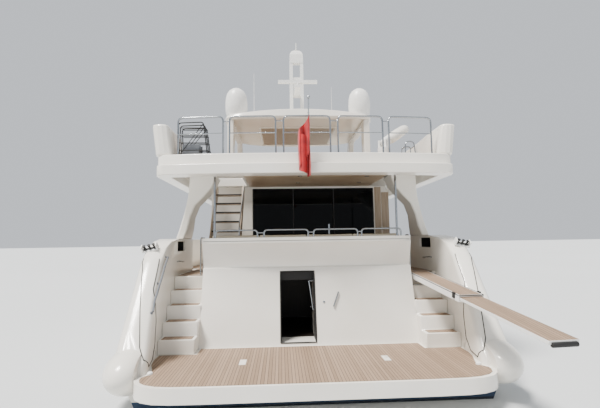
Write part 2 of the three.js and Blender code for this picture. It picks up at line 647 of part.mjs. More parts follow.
// z | half the width | aft y and front y from the mast's place
const headRows = [
  [mastHeadZ - 15, 232, -130, 80], [9130, 225, -125, 75], [9240, 175, -95, 50], [9295, 95, -60, 15],
];
const mastHead = loft(headRows.map(([z, half, y0, y1]) => (
  [[-half, y0], [half, y0], [half, y1], [-half, y1]].map(([x, y]) => new THREE.Vector3(x, mastY + y, z)))));
const bracketZ = 7740; // under the radar scanner
const mast = seatOnHardtop(united([
  shifted(mastLeg, 125, 0, 0), shifted(mastLeg, -235, 0, 0), mastHead,
  block(-90, 90, mastY - 910, mastY - 60, 7660, bracketZ),
  block(-200, 200, mastY - 110, mastY + 90, 7660, 8320),
  turned([[0, 0], [34, 0], [16, 70], [12, 300], [0, 300]], 0, mastY - 20, 9285, 12),
]));
add('mast', mast, 'gelcoat');
const scannerY = mastY - 820;
const scanner = united([
  block(-630, 630, scannerY - 55, scannerY + 55, 7820, 7910),
  turned([[0, 0], [60, 0], [60, 82], [0, 82]], 0, scannerY, bracketZ + gap, 12),
]);
add('radar_scanner', scanner, 'gelcoat');

// Davit on the flybridge's starboard quarter, its boom stowed over the coaming
const davit = { x: 1970, y: -10400, discZ: 4900, pivotZ: 5130, heading: -48, rise: 28 };
const davitPostTop = davit.discZ - flyZ;
const davitPostProfile = [[0, 0], [200, 0], [200, 30], [150, 60], [150, davitPostTop], [0, davitPostTop]];
const davitPost = turned(davitPostProfile, davit.x, davit.y, flyZ + gap);
add('davit_post', davitPost, 'gelcoat');
const davitFrame = new THREE.Matrix4().makeTranslation(davit.x, davit.y, davit.pivotZ)
  .multiply(new THREE.Matrix4().makeRotationZ(THREE.MathUtils.degToRad(davit.heading)));
const boomHalf = 64; // half the boom's width
const davitEar = block(boomHalf + 6, boomHalf + 46, -80, 80, -125, 70);
const davitPin = bar([boomHalf + gap, 0, 0], [boomHalf + 16, 0, 0], 25, 12);
const discFoot = davit.discZ + 3 * gap - davit.pivotZ;
const davitDisc = turned([[0, 0], [150, 0], [150, 110], [0, 110]], 0, 0, discFoot);
const davitHead = united([davitDisc, davitEar, mirrored(davitEar), davitPin, mirrored(davitPin)]);
add('davit_head', moved(davitHead, davitFrame), 'gelcoat');
// distance along the boom | half its height
const boomRows = [[-60, 85], [120, 116], [700, 110], [1130, 86], [1220, 48]];
const boomRings = boomRows.map(([u, h]) => [[-boomHalf, -h], [boomHalf, -h], [boomHalf, h], [-boomHalf, h]]
  .map(([x, z]) => new THREE.Vector3(x, u, z)));
const boomRise = new THREE.Matrix4().makeRotationX(THREE.MathUtils.degToRad(davit.rise));
add('davit_boom', moved(loft(boomRings), davitFrame.clone().multiply(boomRise)), 'gelcoat');

// Flybridge furniture
const helmSide = [[-3600, flyZ + gap], [-2900, flyZ + gap], [-2700, 5500], [-2950, 5620], [-3650, 5300]];
add('fly_helm', sidePlate(helmSide, 300, 1700), 'gelcoat');
const helmSeat = united([
  block(450, 1550, -4700, -4200, flyZ + gap, flyZ + 420),
  block(420, 1580, -4750, -4150, flyZ + 420, flyZ + 560),
  block(420, 1580, -4900, -4740, flyZ + 420, flyZ + 1150),
]);
add('fly_helm_seat', helmSeat, 'vinyl');
const sofaWell = block(600, 1350, -7400, -6200, flyZ, flyZ + 500);
add('fly_sofa', block(700, 1900, -8000, -5600, flyZ + gap, flyZ + 420).subtract(sofaWell), 'gelcoat');
add('fly_sunpad', block(-2200, 200, 200, 2300, flyZ + gap, flyZ + 320), 'vinyl');

// Gangway at the starboard stairs' head: a foot with two ears, and two telescoping sections
const gang = { x: 2590, y: -10850, z: 1940, slewDeg: 5, slopeDeg: 6.9, half: 242 };
const footZ = platformZ + gap + 4 * riser + gap; // on the fourth tread
const gangFrame = new THREE.Matrix4().makeTranslation(gang.x, gang.y, gang.z)
  .multiply(new THREE.Matrix4().makeRotationZ(THREE.MathUtils.degToRad(gang.slewDeg)));
const ear = block(gang.half + 6, gang.half + 34, -60, 60, footZ - gang.z, 70);
const pin = bar([gang.half + gap, 0, 0], [gang.half + 20, 0, 0], 22, 12);
const foot = block(-gang.half - 34, gang.half + 34, -60, 60, footZ - gang.z, footZ + 16 - gang.z);
add('gangway_foot', moved(united([ear, mirrored(ear), pin, mirrored(pin), foot]), gangFrame), 'stainless');
const slope = new THREE.Matrix4().makeRotationX(THREE.MathUtils.degToRad(gang.slopeDeg));
const sloped = gangFrame.clone().multiply(slope);
const gangBore = block(-gang.half + 22, gang.half - 22, -2200, -90, -30, 30);
const innerSection = block(-gang.half, gang.half, -2100, 90, -60, 60).subtract(gangBore);
add('gangway_inner', moved(innerSection, sloped), 'gelcoat');
const outerSection = block(-gang.half + 27, gang.half - 27, -4190, -1600, -29.5, 24);
add('gangway_outer', moved(outerSection, sloped), 'teak');

// Flagstaff on the flybridge's after rail, with the furled flag
const staff = { x: 20, y: -11530, z: flyZ - 20, topY: -11830, topZ: 5750 };
const staffBar = bar([staff.x, staff.y, staff.z], [staff.x, staff.topY, staff.topZ], 14);
add('flagstaff', staffBar.subtract(block(-500, 500, -12000, -11000, 4000, flyZ + gap)), 'stainless');
const staffLean = (staff.topY - staff.y) / (staff.topZ - staff.z);
const hoistY = (z) => staff.y + (z - staff.z) * staffLean - 13.3 * Math.hypot(1, staffLean);
const flagSide = [
  [hoistY(5480), 5480], [hoistY(5130), 5130], [-11755, 4700], [-11755, 4080], [-11880, 4080], [-11900, 5480],
];
const flagFace = [
  [0, 5480], [-70, 5250], [-190, 4900], [-225, 4600], [-150, 4250], [-90, 4080], [50, 4080], [45, 5480],
];
add('flag', sidePlate(flagSide, -300, 100).intersect(crossPlate(flagFace, -12000, -11600)), 'cloth');

// Bow rail on the bulwarks, with its stanchions
const railHeight = 420;
const railYs = [1750, 3500, 5000, 6500, 7750, 9000, 10000, 11000, 12400, 13400];

function railPoint(y, side, lift) {
  const s = stationAt(y);
  const top = bulwarkTop.evaluate(y)[0];
  const x = s.edgeX + 0.12 * (top - s.edgeZ) * THREE.MathUtils.smoothstep(y, 0, 11000) - 45;
  return [side * x, y, top + lift];
}
const bowZ = 3780; // top of the bulwarks at the stem
const portRun = railYs.map((y) => railPoint(y, -1, railHeight));
const portRail = [railPoint(0, -1, -5), ...portRun, [-150, 13560, bowZ + railHeight]];
const railLine = [...portRail, ...portRail.map(([x, y, z]) => [-x, y, z]).reverse()];
const stanchions = [-1, 1].flatMap((side) => railYs.map((y) => (
  bar(railPoint(y, side, -5), railPoint(y, side, railHeight), 14, 6))));
const bowRail = united([tube(railLine, railR, 6), ...stanchions]);
const bothBulwarks = shifted(bulwark.add(mirrored(bulwark)), 0, 0, gap);
add('bow_rail', bowRail.subtract(bothBulwarks), 'stainless');

// Foredeck: sunpad on its coachroof, windlass, anchor in its roller
const sunpadHalf = [[0, 7200], [1150, 7200], [1250, 7400], [1100, 9500], [950, 9700], [0, 9750]];
add('foredeck_sunpad', plate(bothSides(sunpadHalf), roofZ + gap, roofZ + 120), 'vinyl');
const capstan = turned([[0, 0], [120, 0], [90, 60], [90, 160], [130, 220], [0, 220]], 0, 11450, 3178, 16);
const windlass = block(-260, 260, 11250, 11650, 2900, 3180).add(capstan);
add('windlass', seatOnDeck(windlass), 'stainless');

const anchor = united([
  block(-180, 180, 13560, 13720, bowZ + gap, 3850), block(-45, 45, 13450, 14150, bowZ + gap, 3850),
  block(-60, 60, 14080, 14180, 3450, 3850),
  crossPlate([[-330, 3420], [0, 3560], [330, 3420], [0, 3300]], 14060, 14140),
]);
add('anchor', anchor, 'stainless');

// Shafts, propellers and rudders, one line of them on each side

function onShaft(side, along) {
  return [side * gear.x, gear.y + along * Math.cos(gear.tilt), gear.z + along * Math.sin(gear.tilt)];
}

function shaftLine(side) {
  const shaft = bar(onShaft(side, gear.hubFront + gap), onShaft(side, 4100), 45, 12);
  const bearing = bar(onShaft(side, 140), onShaft(side, 500), 95, 12);
  const strut = sidePlate([[-11450, -1290], [-11200, -1250], [-11000, -300], [-11350, -300]], -25, 25);
  const line = united([shaft, bearing, shifted(strut, side * gear.x, 0, 0)]);
  return line.subtract(shifted(hullForm, 0, 0, -gap));
}
add('shaft_starboard', shaftLine(1), 'bronze');
add('shaft_port', shaftLine(-1), 'bronze');

function propeller(side) {
  const hubProfile = [[0, -160], [45, -140], [80, -60], [85, gear.hubFront], [0, gear.hubFront]];
  const hub = turned(hubProfile, 0, 0, 0, 16);
  const bladePlan = [[-20, 0], [130, 190], [150, 340], [60, 425], [-60, 400], [-110, 240], [-60, 40]];
  const blades = [];
  for (let k = 0; k < 4; k += 1) {
    const turn = new THREE.Matrix4().makeRotationZ((k * Math.PI) / 2)
      .multiply(new THREE.Matrix4().makeRotationY(side * 0.6));
    blades.push(moved(plate(bladePlan, -9, 9), turn));
  }
  const place = new THREE.Matrix4().makeTranslation(...onShaft(side, 0))
    .multiply(new THREE.Matrix4().makeRotationX(gear.tilt - Math.PI / 2));
  return moved(united([hub, ...blades]), place);
}
add('propeller_starboard', propeller(1), 'bronze');
add('propeller_port', propeller(-1), 'bronze');

const rudderHalf = [[0, -12130], [28, -12200], [34, -12350], [20, -12650], [0, -12830]];
const rudder = plate(bothSides(rudderHalf), -1650, -760).add(
  bar([0, rudderY, -770], [0, rudderY, bossZ - gap], 40, 12),
);
add('rudder_starboard', shifted(rudder, gear.x, 0, 0), 'bronze');
add('rudder_port', shifted(rudder, -gear.x, 0, 0), 'bronze');

export default yacht;
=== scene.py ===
# Looks of a flybridge motor yacht afloat: finishes, soft goods and deck gear round its fixed frame
import json
import math
import bmesh
import bpy
from mathutils import Matrix, Vector
from mathutils.bvhtree import BVHTree


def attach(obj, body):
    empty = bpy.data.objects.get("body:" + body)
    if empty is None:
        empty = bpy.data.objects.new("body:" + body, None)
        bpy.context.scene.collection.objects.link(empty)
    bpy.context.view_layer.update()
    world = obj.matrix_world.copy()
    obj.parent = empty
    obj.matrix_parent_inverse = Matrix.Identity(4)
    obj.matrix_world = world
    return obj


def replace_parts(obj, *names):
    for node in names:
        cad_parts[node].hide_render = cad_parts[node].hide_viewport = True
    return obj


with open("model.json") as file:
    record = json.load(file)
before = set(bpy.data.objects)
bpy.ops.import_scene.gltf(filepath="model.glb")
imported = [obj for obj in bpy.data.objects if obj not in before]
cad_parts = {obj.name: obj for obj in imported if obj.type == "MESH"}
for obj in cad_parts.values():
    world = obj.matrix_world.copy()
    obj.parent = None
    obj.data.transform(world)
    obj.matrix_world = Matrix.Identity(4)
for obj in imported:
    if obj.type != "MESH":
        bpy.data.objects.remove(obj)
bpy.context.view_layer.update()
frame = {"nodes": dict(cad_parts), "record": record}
print("frame loaded")

# Camera: on the quay, a little to port of the centreline; angles in degrees, lens and sensor in mm
shot = {"place": (-0.59, -20.0, 2.75), "pitch": 5.3, "yaw": 2.78, "roll": 0.9, "lens": 24.0,
        "sensor": 36.0, "reach": 400.0}


def makeCamera():
    data = bpy.data.cameras.new("quay_camera")
    data.lens, data.sensor_width, data.clip_end = shot["lens"], shot["sensor"], shot["reach"]
    camera = bpy.data.objects.new("quay_camera", data)
    turn = (Matrix.Rotation(math.radians(-shot["yaw"]), 4, "Z")
            @ Matrix.Rotation(math.radians(90 + shot["pitch"]), 4, "X")
            @ Matrix.Rotation(math.radians(-shot["roll"]), 4, "Z"))
    camera.matrix_world = Matrix.Translation(shot["place"]) @ turn
    bpy.context.scene.collection.objects.link(camera)
    bpy.context.scene.camera = camera


makeCamera()
print("camera placed")


# Colours are sRGB hex, turned to linear here
def linear(hexColour):
    channels = [int(hexColour[i:i + 2], 16) / 255 for i in (1, 3, 5)]
    return tuple(c / 12.92 if c <= 0.04045 else ((c + 0.055) / 1.055) ** 2.4 for c in channels) + (1.0,)


def addNode(tree, kind, settings=None, links=None):
    node = tree.nodes.new(kind)
    for key, value in (settings or {}).items():
        if isinstance(key, int) or key in node.inputs:
            node.inputs[key].default_value = value
        else:
            setattr(node, key, value)
    for key, source in (links or {}).items():
        tree.links.new(source, node.inputs[key])
    return node


def newMaterial(name, inputs):
    material = bpy.data.materials.new(name)
    material.use_nodes = True
    tree = material.node_tree
    shader = tree.nodes["Principled BSDF"]
    for key, value in inputs.items():
        shader.inputs[key].default_value = value
    return material, tree, shader, addNode(tree, "ShaderNodeTexCoord").outputs["Object"]


def noiseOf(tree, place, sizeMm, detail):
    settings = {"Scale": 1000 / sizeMm, "Detail": detail}
    return addNode(tree, "ShaderNodeTexNoise", settings, {"Vector": place}).outputs["Fac"]


# Grain: a noise drawn out along the wood
def grainOf(tree, place, sizeMm, stretch):
    drawn = addNode(tree, "ShaderNodeMapping", {"Scale": stretch}, {"Vector": place})
    return noiseOf(tree, drawn.outputs["Vector"], sizeMm, 6.0)


def mathOf(tree, operation, *values):
    node = addNode(tree, "ShaderNodeMath", {"operation": operation})
    for i, value in enumerate(values):
        if isinstance(value, float):
            node.inputs[i].default_value = value
        else:
            tree.links.new(value, node.inputs[i])
    return node.outputs["Value"]


def rampOf(tree, factor, dark, pale, ends=(0.3, 0.7), blend="LINEAR"):
    ramp = addNode(tree, "ShaderNodeValToRGB", links={"Fac": factor})
    ramp.color_ramp.interpolation = blend
    for element, at, colour in zip(ramp.color_ramp.elements, ends, (dark, pale)):
        element.position = at
        element.color = linear(colour)
    return ramp.outputs["Color"]


def colourOf(tree, shader, colour):
    tree.links.new(colour, shader.inputs["Base Color"])


def cloudsOf(tree, place, shader, look, detail):
    noise = noiseOf(tree, place, look["cloudMm"], detail)
    colourOf(tree, shader, rampOf(tree, noise, look["dark"], look["pale"]))


def roughnessOf(tree, shader, factor, ends):
    settings = {"To Min": ends[0], "To Max": ends[1]}
    spread = addNode(tree, "ShaderNodeMapRange", settings, {"Value": factor})
    tree.links.new(spread.outputs["Result"], shader.inputs["Roughness"])


def bumpOf(tree, shader, height, depthMm, strength):
    settings = {"Strength": strength, "Distance": depthMm / 1000}
    bump = addNode(tree, "ShaderNodeBump", settings, {"Height": height})
    tree.links.new(bump.outputs["Normal"], shader.inputs["Normal"])


# Gelcoat, moulded and polished: warm white, glossy, with faint clouding and soft ripple
gelcoatLook = {"pale": "#efebe3", "dark": "#e6e1d6", "cloudMm": 1400, "rippleMm": 450, "glossMm": 700,
               "roughness": (0.17, 0.3), "bump": (1.2, 0.35)}


def gelcoatColour(tree, place):
    clouds = noiseOf(tree, place, gelcoatLook["cloudMm"], 5.0)
    return rampOf(tree, clouds, gelcoatLook["dark"], gelcoatLook["pale"])


def mouldedGelcoat():
    inputs = {"IOR": 1.5, "Coat Weight": 0.3, "Coat Roughness": 0.06}
    material, tree, shader, place = newMaterial("polished moulded gelcoat", inputs)
    colourOf(tree, shader, gelcoatColour(tree, place))
    roughnessOf(tree, shader, noiseOf(tree, place, gelcoatLook["glossMm"], 4.0), gelcoatLook["roughness"])
    bumpOf(tree, shader, noiseOf(tree, place, gelcoatLook["rippleMm"], 2.0), *gelcoatLook["bump"])
    return material


# The hull's own gelcoat: antifouling to just above the waterline, a boot stripe, then white topsides
hullLook = {"antifouling": "#1c2530", "stripe": "#2b3d55", "stripeZ": (0.04, 0.14), "bandTop": 0.2,
            "roughness": (0.75, 0.2)}


def paintedHull():
    material, tree, shader, place = newMaterial("gelcoat topsides with antifouling below", {"IOR": 1.5})
    height = addNode(tree, "ShaderNodeSeparateXYZ", links={"Vector": place}).outputs["Z"]
    top = hullLook["bandTop"]
    bands = addNode(tree, "ShaderNodeMapRange", {"From Min": 0.0, "From Max": top}, {"Value": height})
    bands = bands.outputs["Result"]
    low, high = (z / top for z in hullLook["stripeZ"])
    below = rampOf(tree, bands, hullLook["antifouling"], hullLook["stripe"], (0.0, low), "CONSTANT")
    above = mathOf(tree, "GREATER_THAN", bands, high)
    mix = addNode(tree, "ShaderNodeMix", {"data_type": "RGBA"},
                  {0: above, 6: below, 7: gelcoatColour(tree, place)})
    colourOf(tree, shader, mix.outputs[2])
    roughnessOf(tree, shader, above, hullLook["roughness"])
    return material


# Teak, laid in planks and left to weather: dry light brown with dark caulking
teakLook = {"plankMm": 55, "caulkMm": 7, "pale": "#a08872", "dark": "#806954", "caulk": "#3a3029",
            "grainMm": 9, "weatherMm": 10000 / 9, "bump": (1.0, 0.4)}


def laidTeak():
    material, tree, shader, place = newMaterial("laid weathered teak", {"Roughness": 0.72})
    x = addNode(tree, "ShaderNodeSeparateXYZ", links={"Vector": place}).outputs["X"]
    across = mathOf(tree, "DIVIDE", x, teakLook["plankMm"] / 1000)
    number, inside = mathOf(tree, "FLOOR", across), mathOf(tree, "FRACT", across)
    # Caulking is 4 mm wide on deck and is drawn at 7 mm, or it would not show
    seam = mathOf(tree, "LESS_THAN", inside, teakLook["caulkMm"] / teakLook["plankMm"])
    tone = addNode(tree, "ShaderNodeTexWhiteNoise", {"noise_dimensions": "1D"}, {"W": number})
    grain = grainOf(tree, place, teakLook["grainMm"], (1.0, 0.06, 1.0))
    weather = noiseOf(tree, place, teakLook["weatherMm"], 4.0)
    total = mathOf(tree, "ADD", mathOf(tree, "ADD", tone.outputs["Value"], grain), weather)
    level = mathOf(tree, "DIVIDE", total, 3.0)
    wood = rampOf(tree, level, teakLook["dark"], teakLook["pale"], (0.2, 0.8))
    mix = addNode(tree, "ShaderNodeMix", {"data_type": "RGBA", 7: linear(teakLook["caulk"])},
                  {0: seam, 6: wood})
    colourOf(tree, shader, mix.outputs[2])
    bumpOf(tree, shader, grain, *teakLook["bump"])
    return material


# Finishes that follow one noise: a grain drawn out upright, or clouds that the roughness follows too.
# Sizes are in mm, bump is a depth in mm and a strength
looks = {
    # redder under its clear glossy coat
    "varnish": {"name": "varnished teak", "dark": "#7a4c2a", "pale": "#a9754a", "grainMm": 30,
                "stretch": 0.08, "bump": (0.4, 0.3), "inputs": {"Roughness": 0.35, "Coat Weight": 0.5}},
    # greyish tan
    "oak": {"name": "limed oak veneer", "dark": "#8f7c67", "pale": "#a99883", "grainMm": 25,
            "stretch": 0.06, "bump": (0.3, 0.3), "inputs": {"Roughness": 0.45}},
    # near black: painted shade, laid over the inside of the lobby behind the transom door
    "walnut": {"name": "satin walnut veneer", "dark": "#120c08", "pale": "#20160f", "grainMm": 100 / 3,
               "stretch": 0.08, "inputs": {"Roughness": 0.5}},
    # near black and sharply glossy, with faint roller wave
    "glass": {"name": "tinted float glass", "dark": "#030405", "pale": "#07090b", "sizeMm": 500,
              "roughness": (0.02, 0.06), "bump": (0.8, 0.25),
              "inputs": {"Specular IOR Level": 0.1, "IOR": 1.52}},
    "acrylic": {"name": "smoked cast acrylic", "dark": "#4a4f52", "pale": "#5b6063", "sizeMm": 300,
                "roughness": (0.03, 0.08), "inputs": {"Transmission Weight": 0.7, "IOR": 1.49}},
    # bright, with fine drawn streaks
    "stainless": {"name": "polished stainless tube", "dark": "#8d9297", "pale": "#b3b7ba", "sizeMm": 12,
                  "roughness": (0.1, 0.24), "inputs": {"Metallic": 1.0}},
    # brown gold, with darker oxide in the hollows
    "bronze": {"name": "cast ground bronze", "dark": "#7d5f33", "pale": "#b08a4b", "sizeMm": 60,
               "roughness": (0.3, 0.5), "bump": (1.5, 0.4), "inputs": {"Metallic": 1.0}},
    # browner than the panels it edges
    "piping": {"name": "rolled vinyl welt", "dark": "#8f8068", "pale": "#a39479", "sizeMm": 30,
               "roughness": (0.45, 0.6)},
    # also dark plastic trim: near black, dull
    "rubber": {"name": "moulded black rubber", "dark": "#0c0c0c", "pale": "#191817", "sizeMm": 25,
               "roughness": (0.5, 0.7), "bump": (0.4, 0.3)},
    # two-part paint: cooler white, satin; its orange peel of 2 mm is drawn at 8 mm
    "paint": {"name": "white sprayed aluminium", "dark": "#e6e5e1", "pale": "#efeeea", "sizeMm": 90,
              "roughness": (0.28, 0.38), "peelMm": 8, "bump": (0.2, 0.25)},
    # tan and satin, with broad soft clouding; the tan and its clouding are partly painted reflection of the
    # teak deck below
    "headliner": {"name": "stretched vinyl headliner", "dark": "#a48a6f", "pale": "#c6b297",
                  "sizeMm": 900, "roughness": (0.3, 0.42)},
    "lens": {"name": "frosted acrylic lens", "dark": "#e6e3da", "pale": "#f4f2ec", "sizeMm": 40,
             "roughness": (0.2, 0.35), "inputs": {"IOR": 1.49, "Transmission Weight": 0.25}},
}


def plain(key):
    look = looks[key]
    material, tree, shader, place = newMaterial(look["name"], look.get("inputs", {}))
    if "grainMm" in look:
        noise = grainOf(tree, place, look["grainMm"], (1.0, 1.0, look["stretch"]))
    else:
        noise = noiseOf(tree, place, look["sizeMm"], 4.0)
        roughnessOf(tree, shader, noise, look["roughness"])
    colourOf(tree, shader, rampOf(tree, noise, look["dark"], look["pale"]))
    if "bump" in look:
        height = noiseOf(tree, place, look["peelMm"], 2.0) if "peelMm" in look else noise
        bumpOf(tree, shader, height, *look["bump"])
    return material


# Upholstery vinyl, embossed with a leather grain
vinylLook = {"pale": "#d9cfba", "dark": "#c6baa1", "cloudMm": 400, "grainMm": 4}


def embossedVinyl():
    material, tree, shader, place = newMaterial("embossed upholstery vinyl", {"Roughness": 0.55})
    cloudsOf(tree, place, shader, vinylLook, 4.0)
    # The real grain is 1 mm and is drawn at 4 mm, or it would not show
    settings = {"Scale": 1000 / vinylLook["grainMm"]}
    cells = addNode(tree, "ShaderNodeTexVoronoi", settings, {"Vector": place})
    bumpOf(tree, shader, cells.outputs["Distance"], 0.5, 0.5)
    return material


# Polyester bunting, woven: strong red, dull, with a faint sheen
flagLook = {"pale": "#c4171d", "dark": "#8f0e14", "cloudMm": 500 / 3, "waveMm": 6}


def wovenBunting():
    inputs = {"Roughness": 0.7, "Sheen Weight": 0.2}
    material, tree, shader, place = newMaterial("woven polyester bunting", inputs)
    cloudsOf(tree, place, shader, flagLook, 3.0)
    # A thread of under 1 mm would not show: the weave is drawn as soft bands of 2 pi times waveMm
    radians = 20  # by which the texture's own wave turns in a metre
    settings = {"Scale": 1000 / flagLook["waveMm"] / radians, "bands_direction": "Z"}
    threads = addNode(tree, "ShaderNodeTexWave", settings, {"Vector": place})
    bumpOf(tree, shader, threads.outputs["Fac"], 0.6, 0.3)
    return material


# Sling of coated yarn: open weave, blue grey, dull
slingLook = {"dark": "#5d6167", "pale": "#777b81", "weaveMm": 10}


def wovenSling():
    material, tree, shader, place = newMaterial("woven coated sling", {"Roughness": 0.8})
    # The weave is 2 mm and is drawn at 10 mm, or it would not show
    settings = {"Scale": 1000 / slingLook["weaveMm"], "Color1": linear(slingLook["dark"]),
                "Color2": linear(slingLook["pale"])}
    weave = addNode(tree, "ShaderNodeTexChecker", settings, {"Vector": place})
    colourOf(tree, shader, weave.outputs["Color"])
    bumpOf(tree, shader, weave.outputs["Fac"], 0.5, 0.4)
    return material


# name in this script: material, record slot
finishes = {
    "gelcoat": (mouldedGelcoat(), "gelcoat"), "hull": (paintedHull(), "gelcoat"),
    "teak": (laidTeak(), "teak"), "varnish": (plain("varnish"), "teak"),
    "glass": (plain("glass"), "tinted_glass"), "acrylic": (plain("acrylic"), "tinted_glass"),
    "stainless": (plain("stainless"), "stainless"), "bronze": (plain("bronze"), "bronze"),
    "vinyl": (embossedVinyl(), "vinyl"), "bunting": (wovenBunting(), "flag_cloth"),
    "rubber": (plain("rubber"), "rubber"), "paint": (plain("paint"), "painted_metal"),
    "walnut": (plain("walnut"), "teak"), "oak": (plain("oak"), "teak"),
    "headliner": (plain("headliner"), "vinyl"), "sling": (wovenSling(), "sling"),
    "piping": (plain("piping"), "vinyl"), "lens": (plain("lens"), "painted_metal"),
}
print("finishes made")


def circle(across, up, steps):
    angles = [2 * math.pi * k / steps for k in range(steps)]
    return [(across * math.cos(a), up * math.sin(a)) for a in angles]


# Forms: each gives a list of points and a list of faces, in metres
def slabForm(outline, z0, z1):
    n = len(outline)
    points = [(x, y, z) for z in (z0, z1) for x, y in outline]
    faces = [tuple(reversed(range(n))), tuple(range(n, 2 * n))]
    faces += [(i, (i + 1) % n, n + (i + 1) % n, n + i) for i in range(n)]
    return points, faces


def blockForm(x0, x1, y0, y1, z0, z1):
    return slabForm([(x0, y0), (x1, y0), (x1, y1), (x0, y1)], z0, z1)


def blocks(*rows):
    return [blockForm(*row) for row in rows]


# An outline of y and z, drawn out along x
def sideForm(outline, x0, x1):
    points, faces = slabForm(outline, x0, x1)
    return [(z, x, y) for x, y, z in points], faces


def tubeForm(path, radius, sides=10, closed=False):
    path = [Vector(p) for p in path]
    n = len(path)
    points, faces = [], []
    side = None
    for i, p in enumerate(path):
        before = path[i - 1] if closed or i else p
        after = path[(i + 1) % n] if closed or i < n - 1 else p
        along = (after - before).normalized()
        if side is None:
            side = along.orthogonal().normalized()
        side = (side - along * side.dot(along)).normalized()
        up = along.cross(side)
        r = radius[i] if isinstance(radius, list) else radius
        points += [tuple(p + side * u + up * v) for u, v in circle(r, r, sides)]
    for i in range(n if closed else n - 1):
        j = (i + 1) % n
        for k in range(sides):
            m = (k + 1) % sides
            faces.append((i * sides + k, i * sides + m, j * sides + m, j * sides + k))
    if not closed:
        faces.append(tuple(reversed(range(sides))))
        faces.append(tuple(range((n - 1) * sides, n * sides)))
    return points, faces


def latheForm(rows, place, axis=(0, 0, 1), steps=32):
    # rows: radius, distance along the axis
    turn = Vector((0, 0, 1)).rotation_difference(Vector(axis)).to_matrix()
    points, faces, rings = [], [], []
    for r, along in rows:
        around = circle(r, r, steps) if r else [(0, 0)]
        rings.append(range(len(points), len(points) + len(around)))
        points += [tuple(Vector(place) + turn @ Vector((x, y, along))) for x, y in around]
    for low, high in zip(rings, rings[1:]):
        for k in range(steps):
            m = (k + 1) % steps
            if len(low) == 1:
                faces.append((low[0], high[m], high[k]))
            elif len(high) == 1:
                faces.append((low[k], low[m], high[0]))
            else:
                faces.append((low[k], low[m], high[m], high[k]))
    return points, faces


def rounded(path, radius, steps=6):
    # The same path with each inner corner replaced by a bend
    path = [Vector(p) for p in path]
    out = [path[0]]
    for before, corner, after in zip(path, path[1:], path[2:]):
        a, b = (before - corner), (after - corner)
        reach = min(radius, a.length / 2, b.length / 2)
        start, end = corner + a.normalized() * reach, corner + b.normalized() * reach
        for k in range(steps + 1):
            t = k / steps
            out.append(start.lerp(corner, t).lerp(corner.lerp(end, t), t))
    return out + [path[-1]]


def bentTube(path, bend, radius, sides=12):
    return tubeForm(rounded(path, bend), radius, sides)


def mirroredForm(form):
    points, faces = form
    return [(-x, y, z) for x, y, z in points], [tuple(reversed(f)) for f in faces]


def both(form):
    return [form, mirroredForm(form)]


def moved(forms, matrix):
    return [([tuple(matrix @ Vector(p)) for p in points], faces) for points, faces in forms]


sides = ((1, "starboard"), (-1, "port"))


# What is written for the starboard side, for either side
def pointsOn(side, points):
    return [(side * x, y, z) for x, y, z in points]


def formsOn(side, forms):
    return forms if side > 0 else [mirroredForm(f) for f in forms]


def buildPiece(name, finish, forms, body="hull", bevel=0.0, smooth=38):
    points, faces = [], []
    for formPoints, formFaces in forms:
        start = len(points)
        points += formPoints
        faces += [tuple(start + i for i in f) for f in formFaces]
    mesh = bpy.data.meshes.new(name)
    mesh.from_pydata(points, [], faces)
    mesh.validate()
    mesh.update()
    return dressPiece(name, mesh, finish, body, bevel, smooth)


def dressPiece(name, mesh, finish, body, bevel, smooth):
    material, slot = finishes[finish]
    mesh.materials.clear()
    mesh.materials.append(material)
    mesh.shade_smooth()
    mesh.set_sharp_from_angle(angle=math.radians(smooth))
    piece = bpy.data.objects.new(name, mesh)
    bpy.context.scene.collection.objects.link(piece)
    if bevel:
        edge = piece.modifiers.new("worn edge", "BEVEL")
        edge.width, edge.segments = bevel, 2
        edge.limit_method = "ANGLE"
        edge.angle_limit = math.radians(smooth)
    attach(piece, body)
    return piece


# Stainless fittings, whose edges stay soft up to a steeper angle
def buildMetal(name, forms, body="hull", smooth=50):
    return buildPiece(name, "stainless", forms, body, smooth=smooth)


bodies = frame["record"]["behaviour"]["bodies"]
bodyOfNode = {node: body for body, nodes in bodies.items() for node in nodes}
# Points nearer than this many metres are one, and faces within this many degrees are one
merge = {"distance": 2e-5, "angle": 0.4}


def softenNode(node, finish, bevel, smooth):
    # A copy of the frame's node with its facets merged and its edges rounded stands for it
    work = bmesh.new()
    work.from_mesh(frame["nodes"][node].data)
    bmesh.ops.remove_doubles(work, verts=work.verts, dist=merge["distance"])
    bmesh.ops.dissolve_limit(work, angle_limit=math.radians(merge["angle"]), verts=work.verts,
                             edges=work.edges)
    mesh = bpy.data.meshes.new(node + "_finished")
    work.to_mesh(mesh)
    work.free()
    piece = dressPiece(node + "_finished", mesh, finish, bodyOfNode[node], bevel, smooth)
    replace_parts(piece, node)


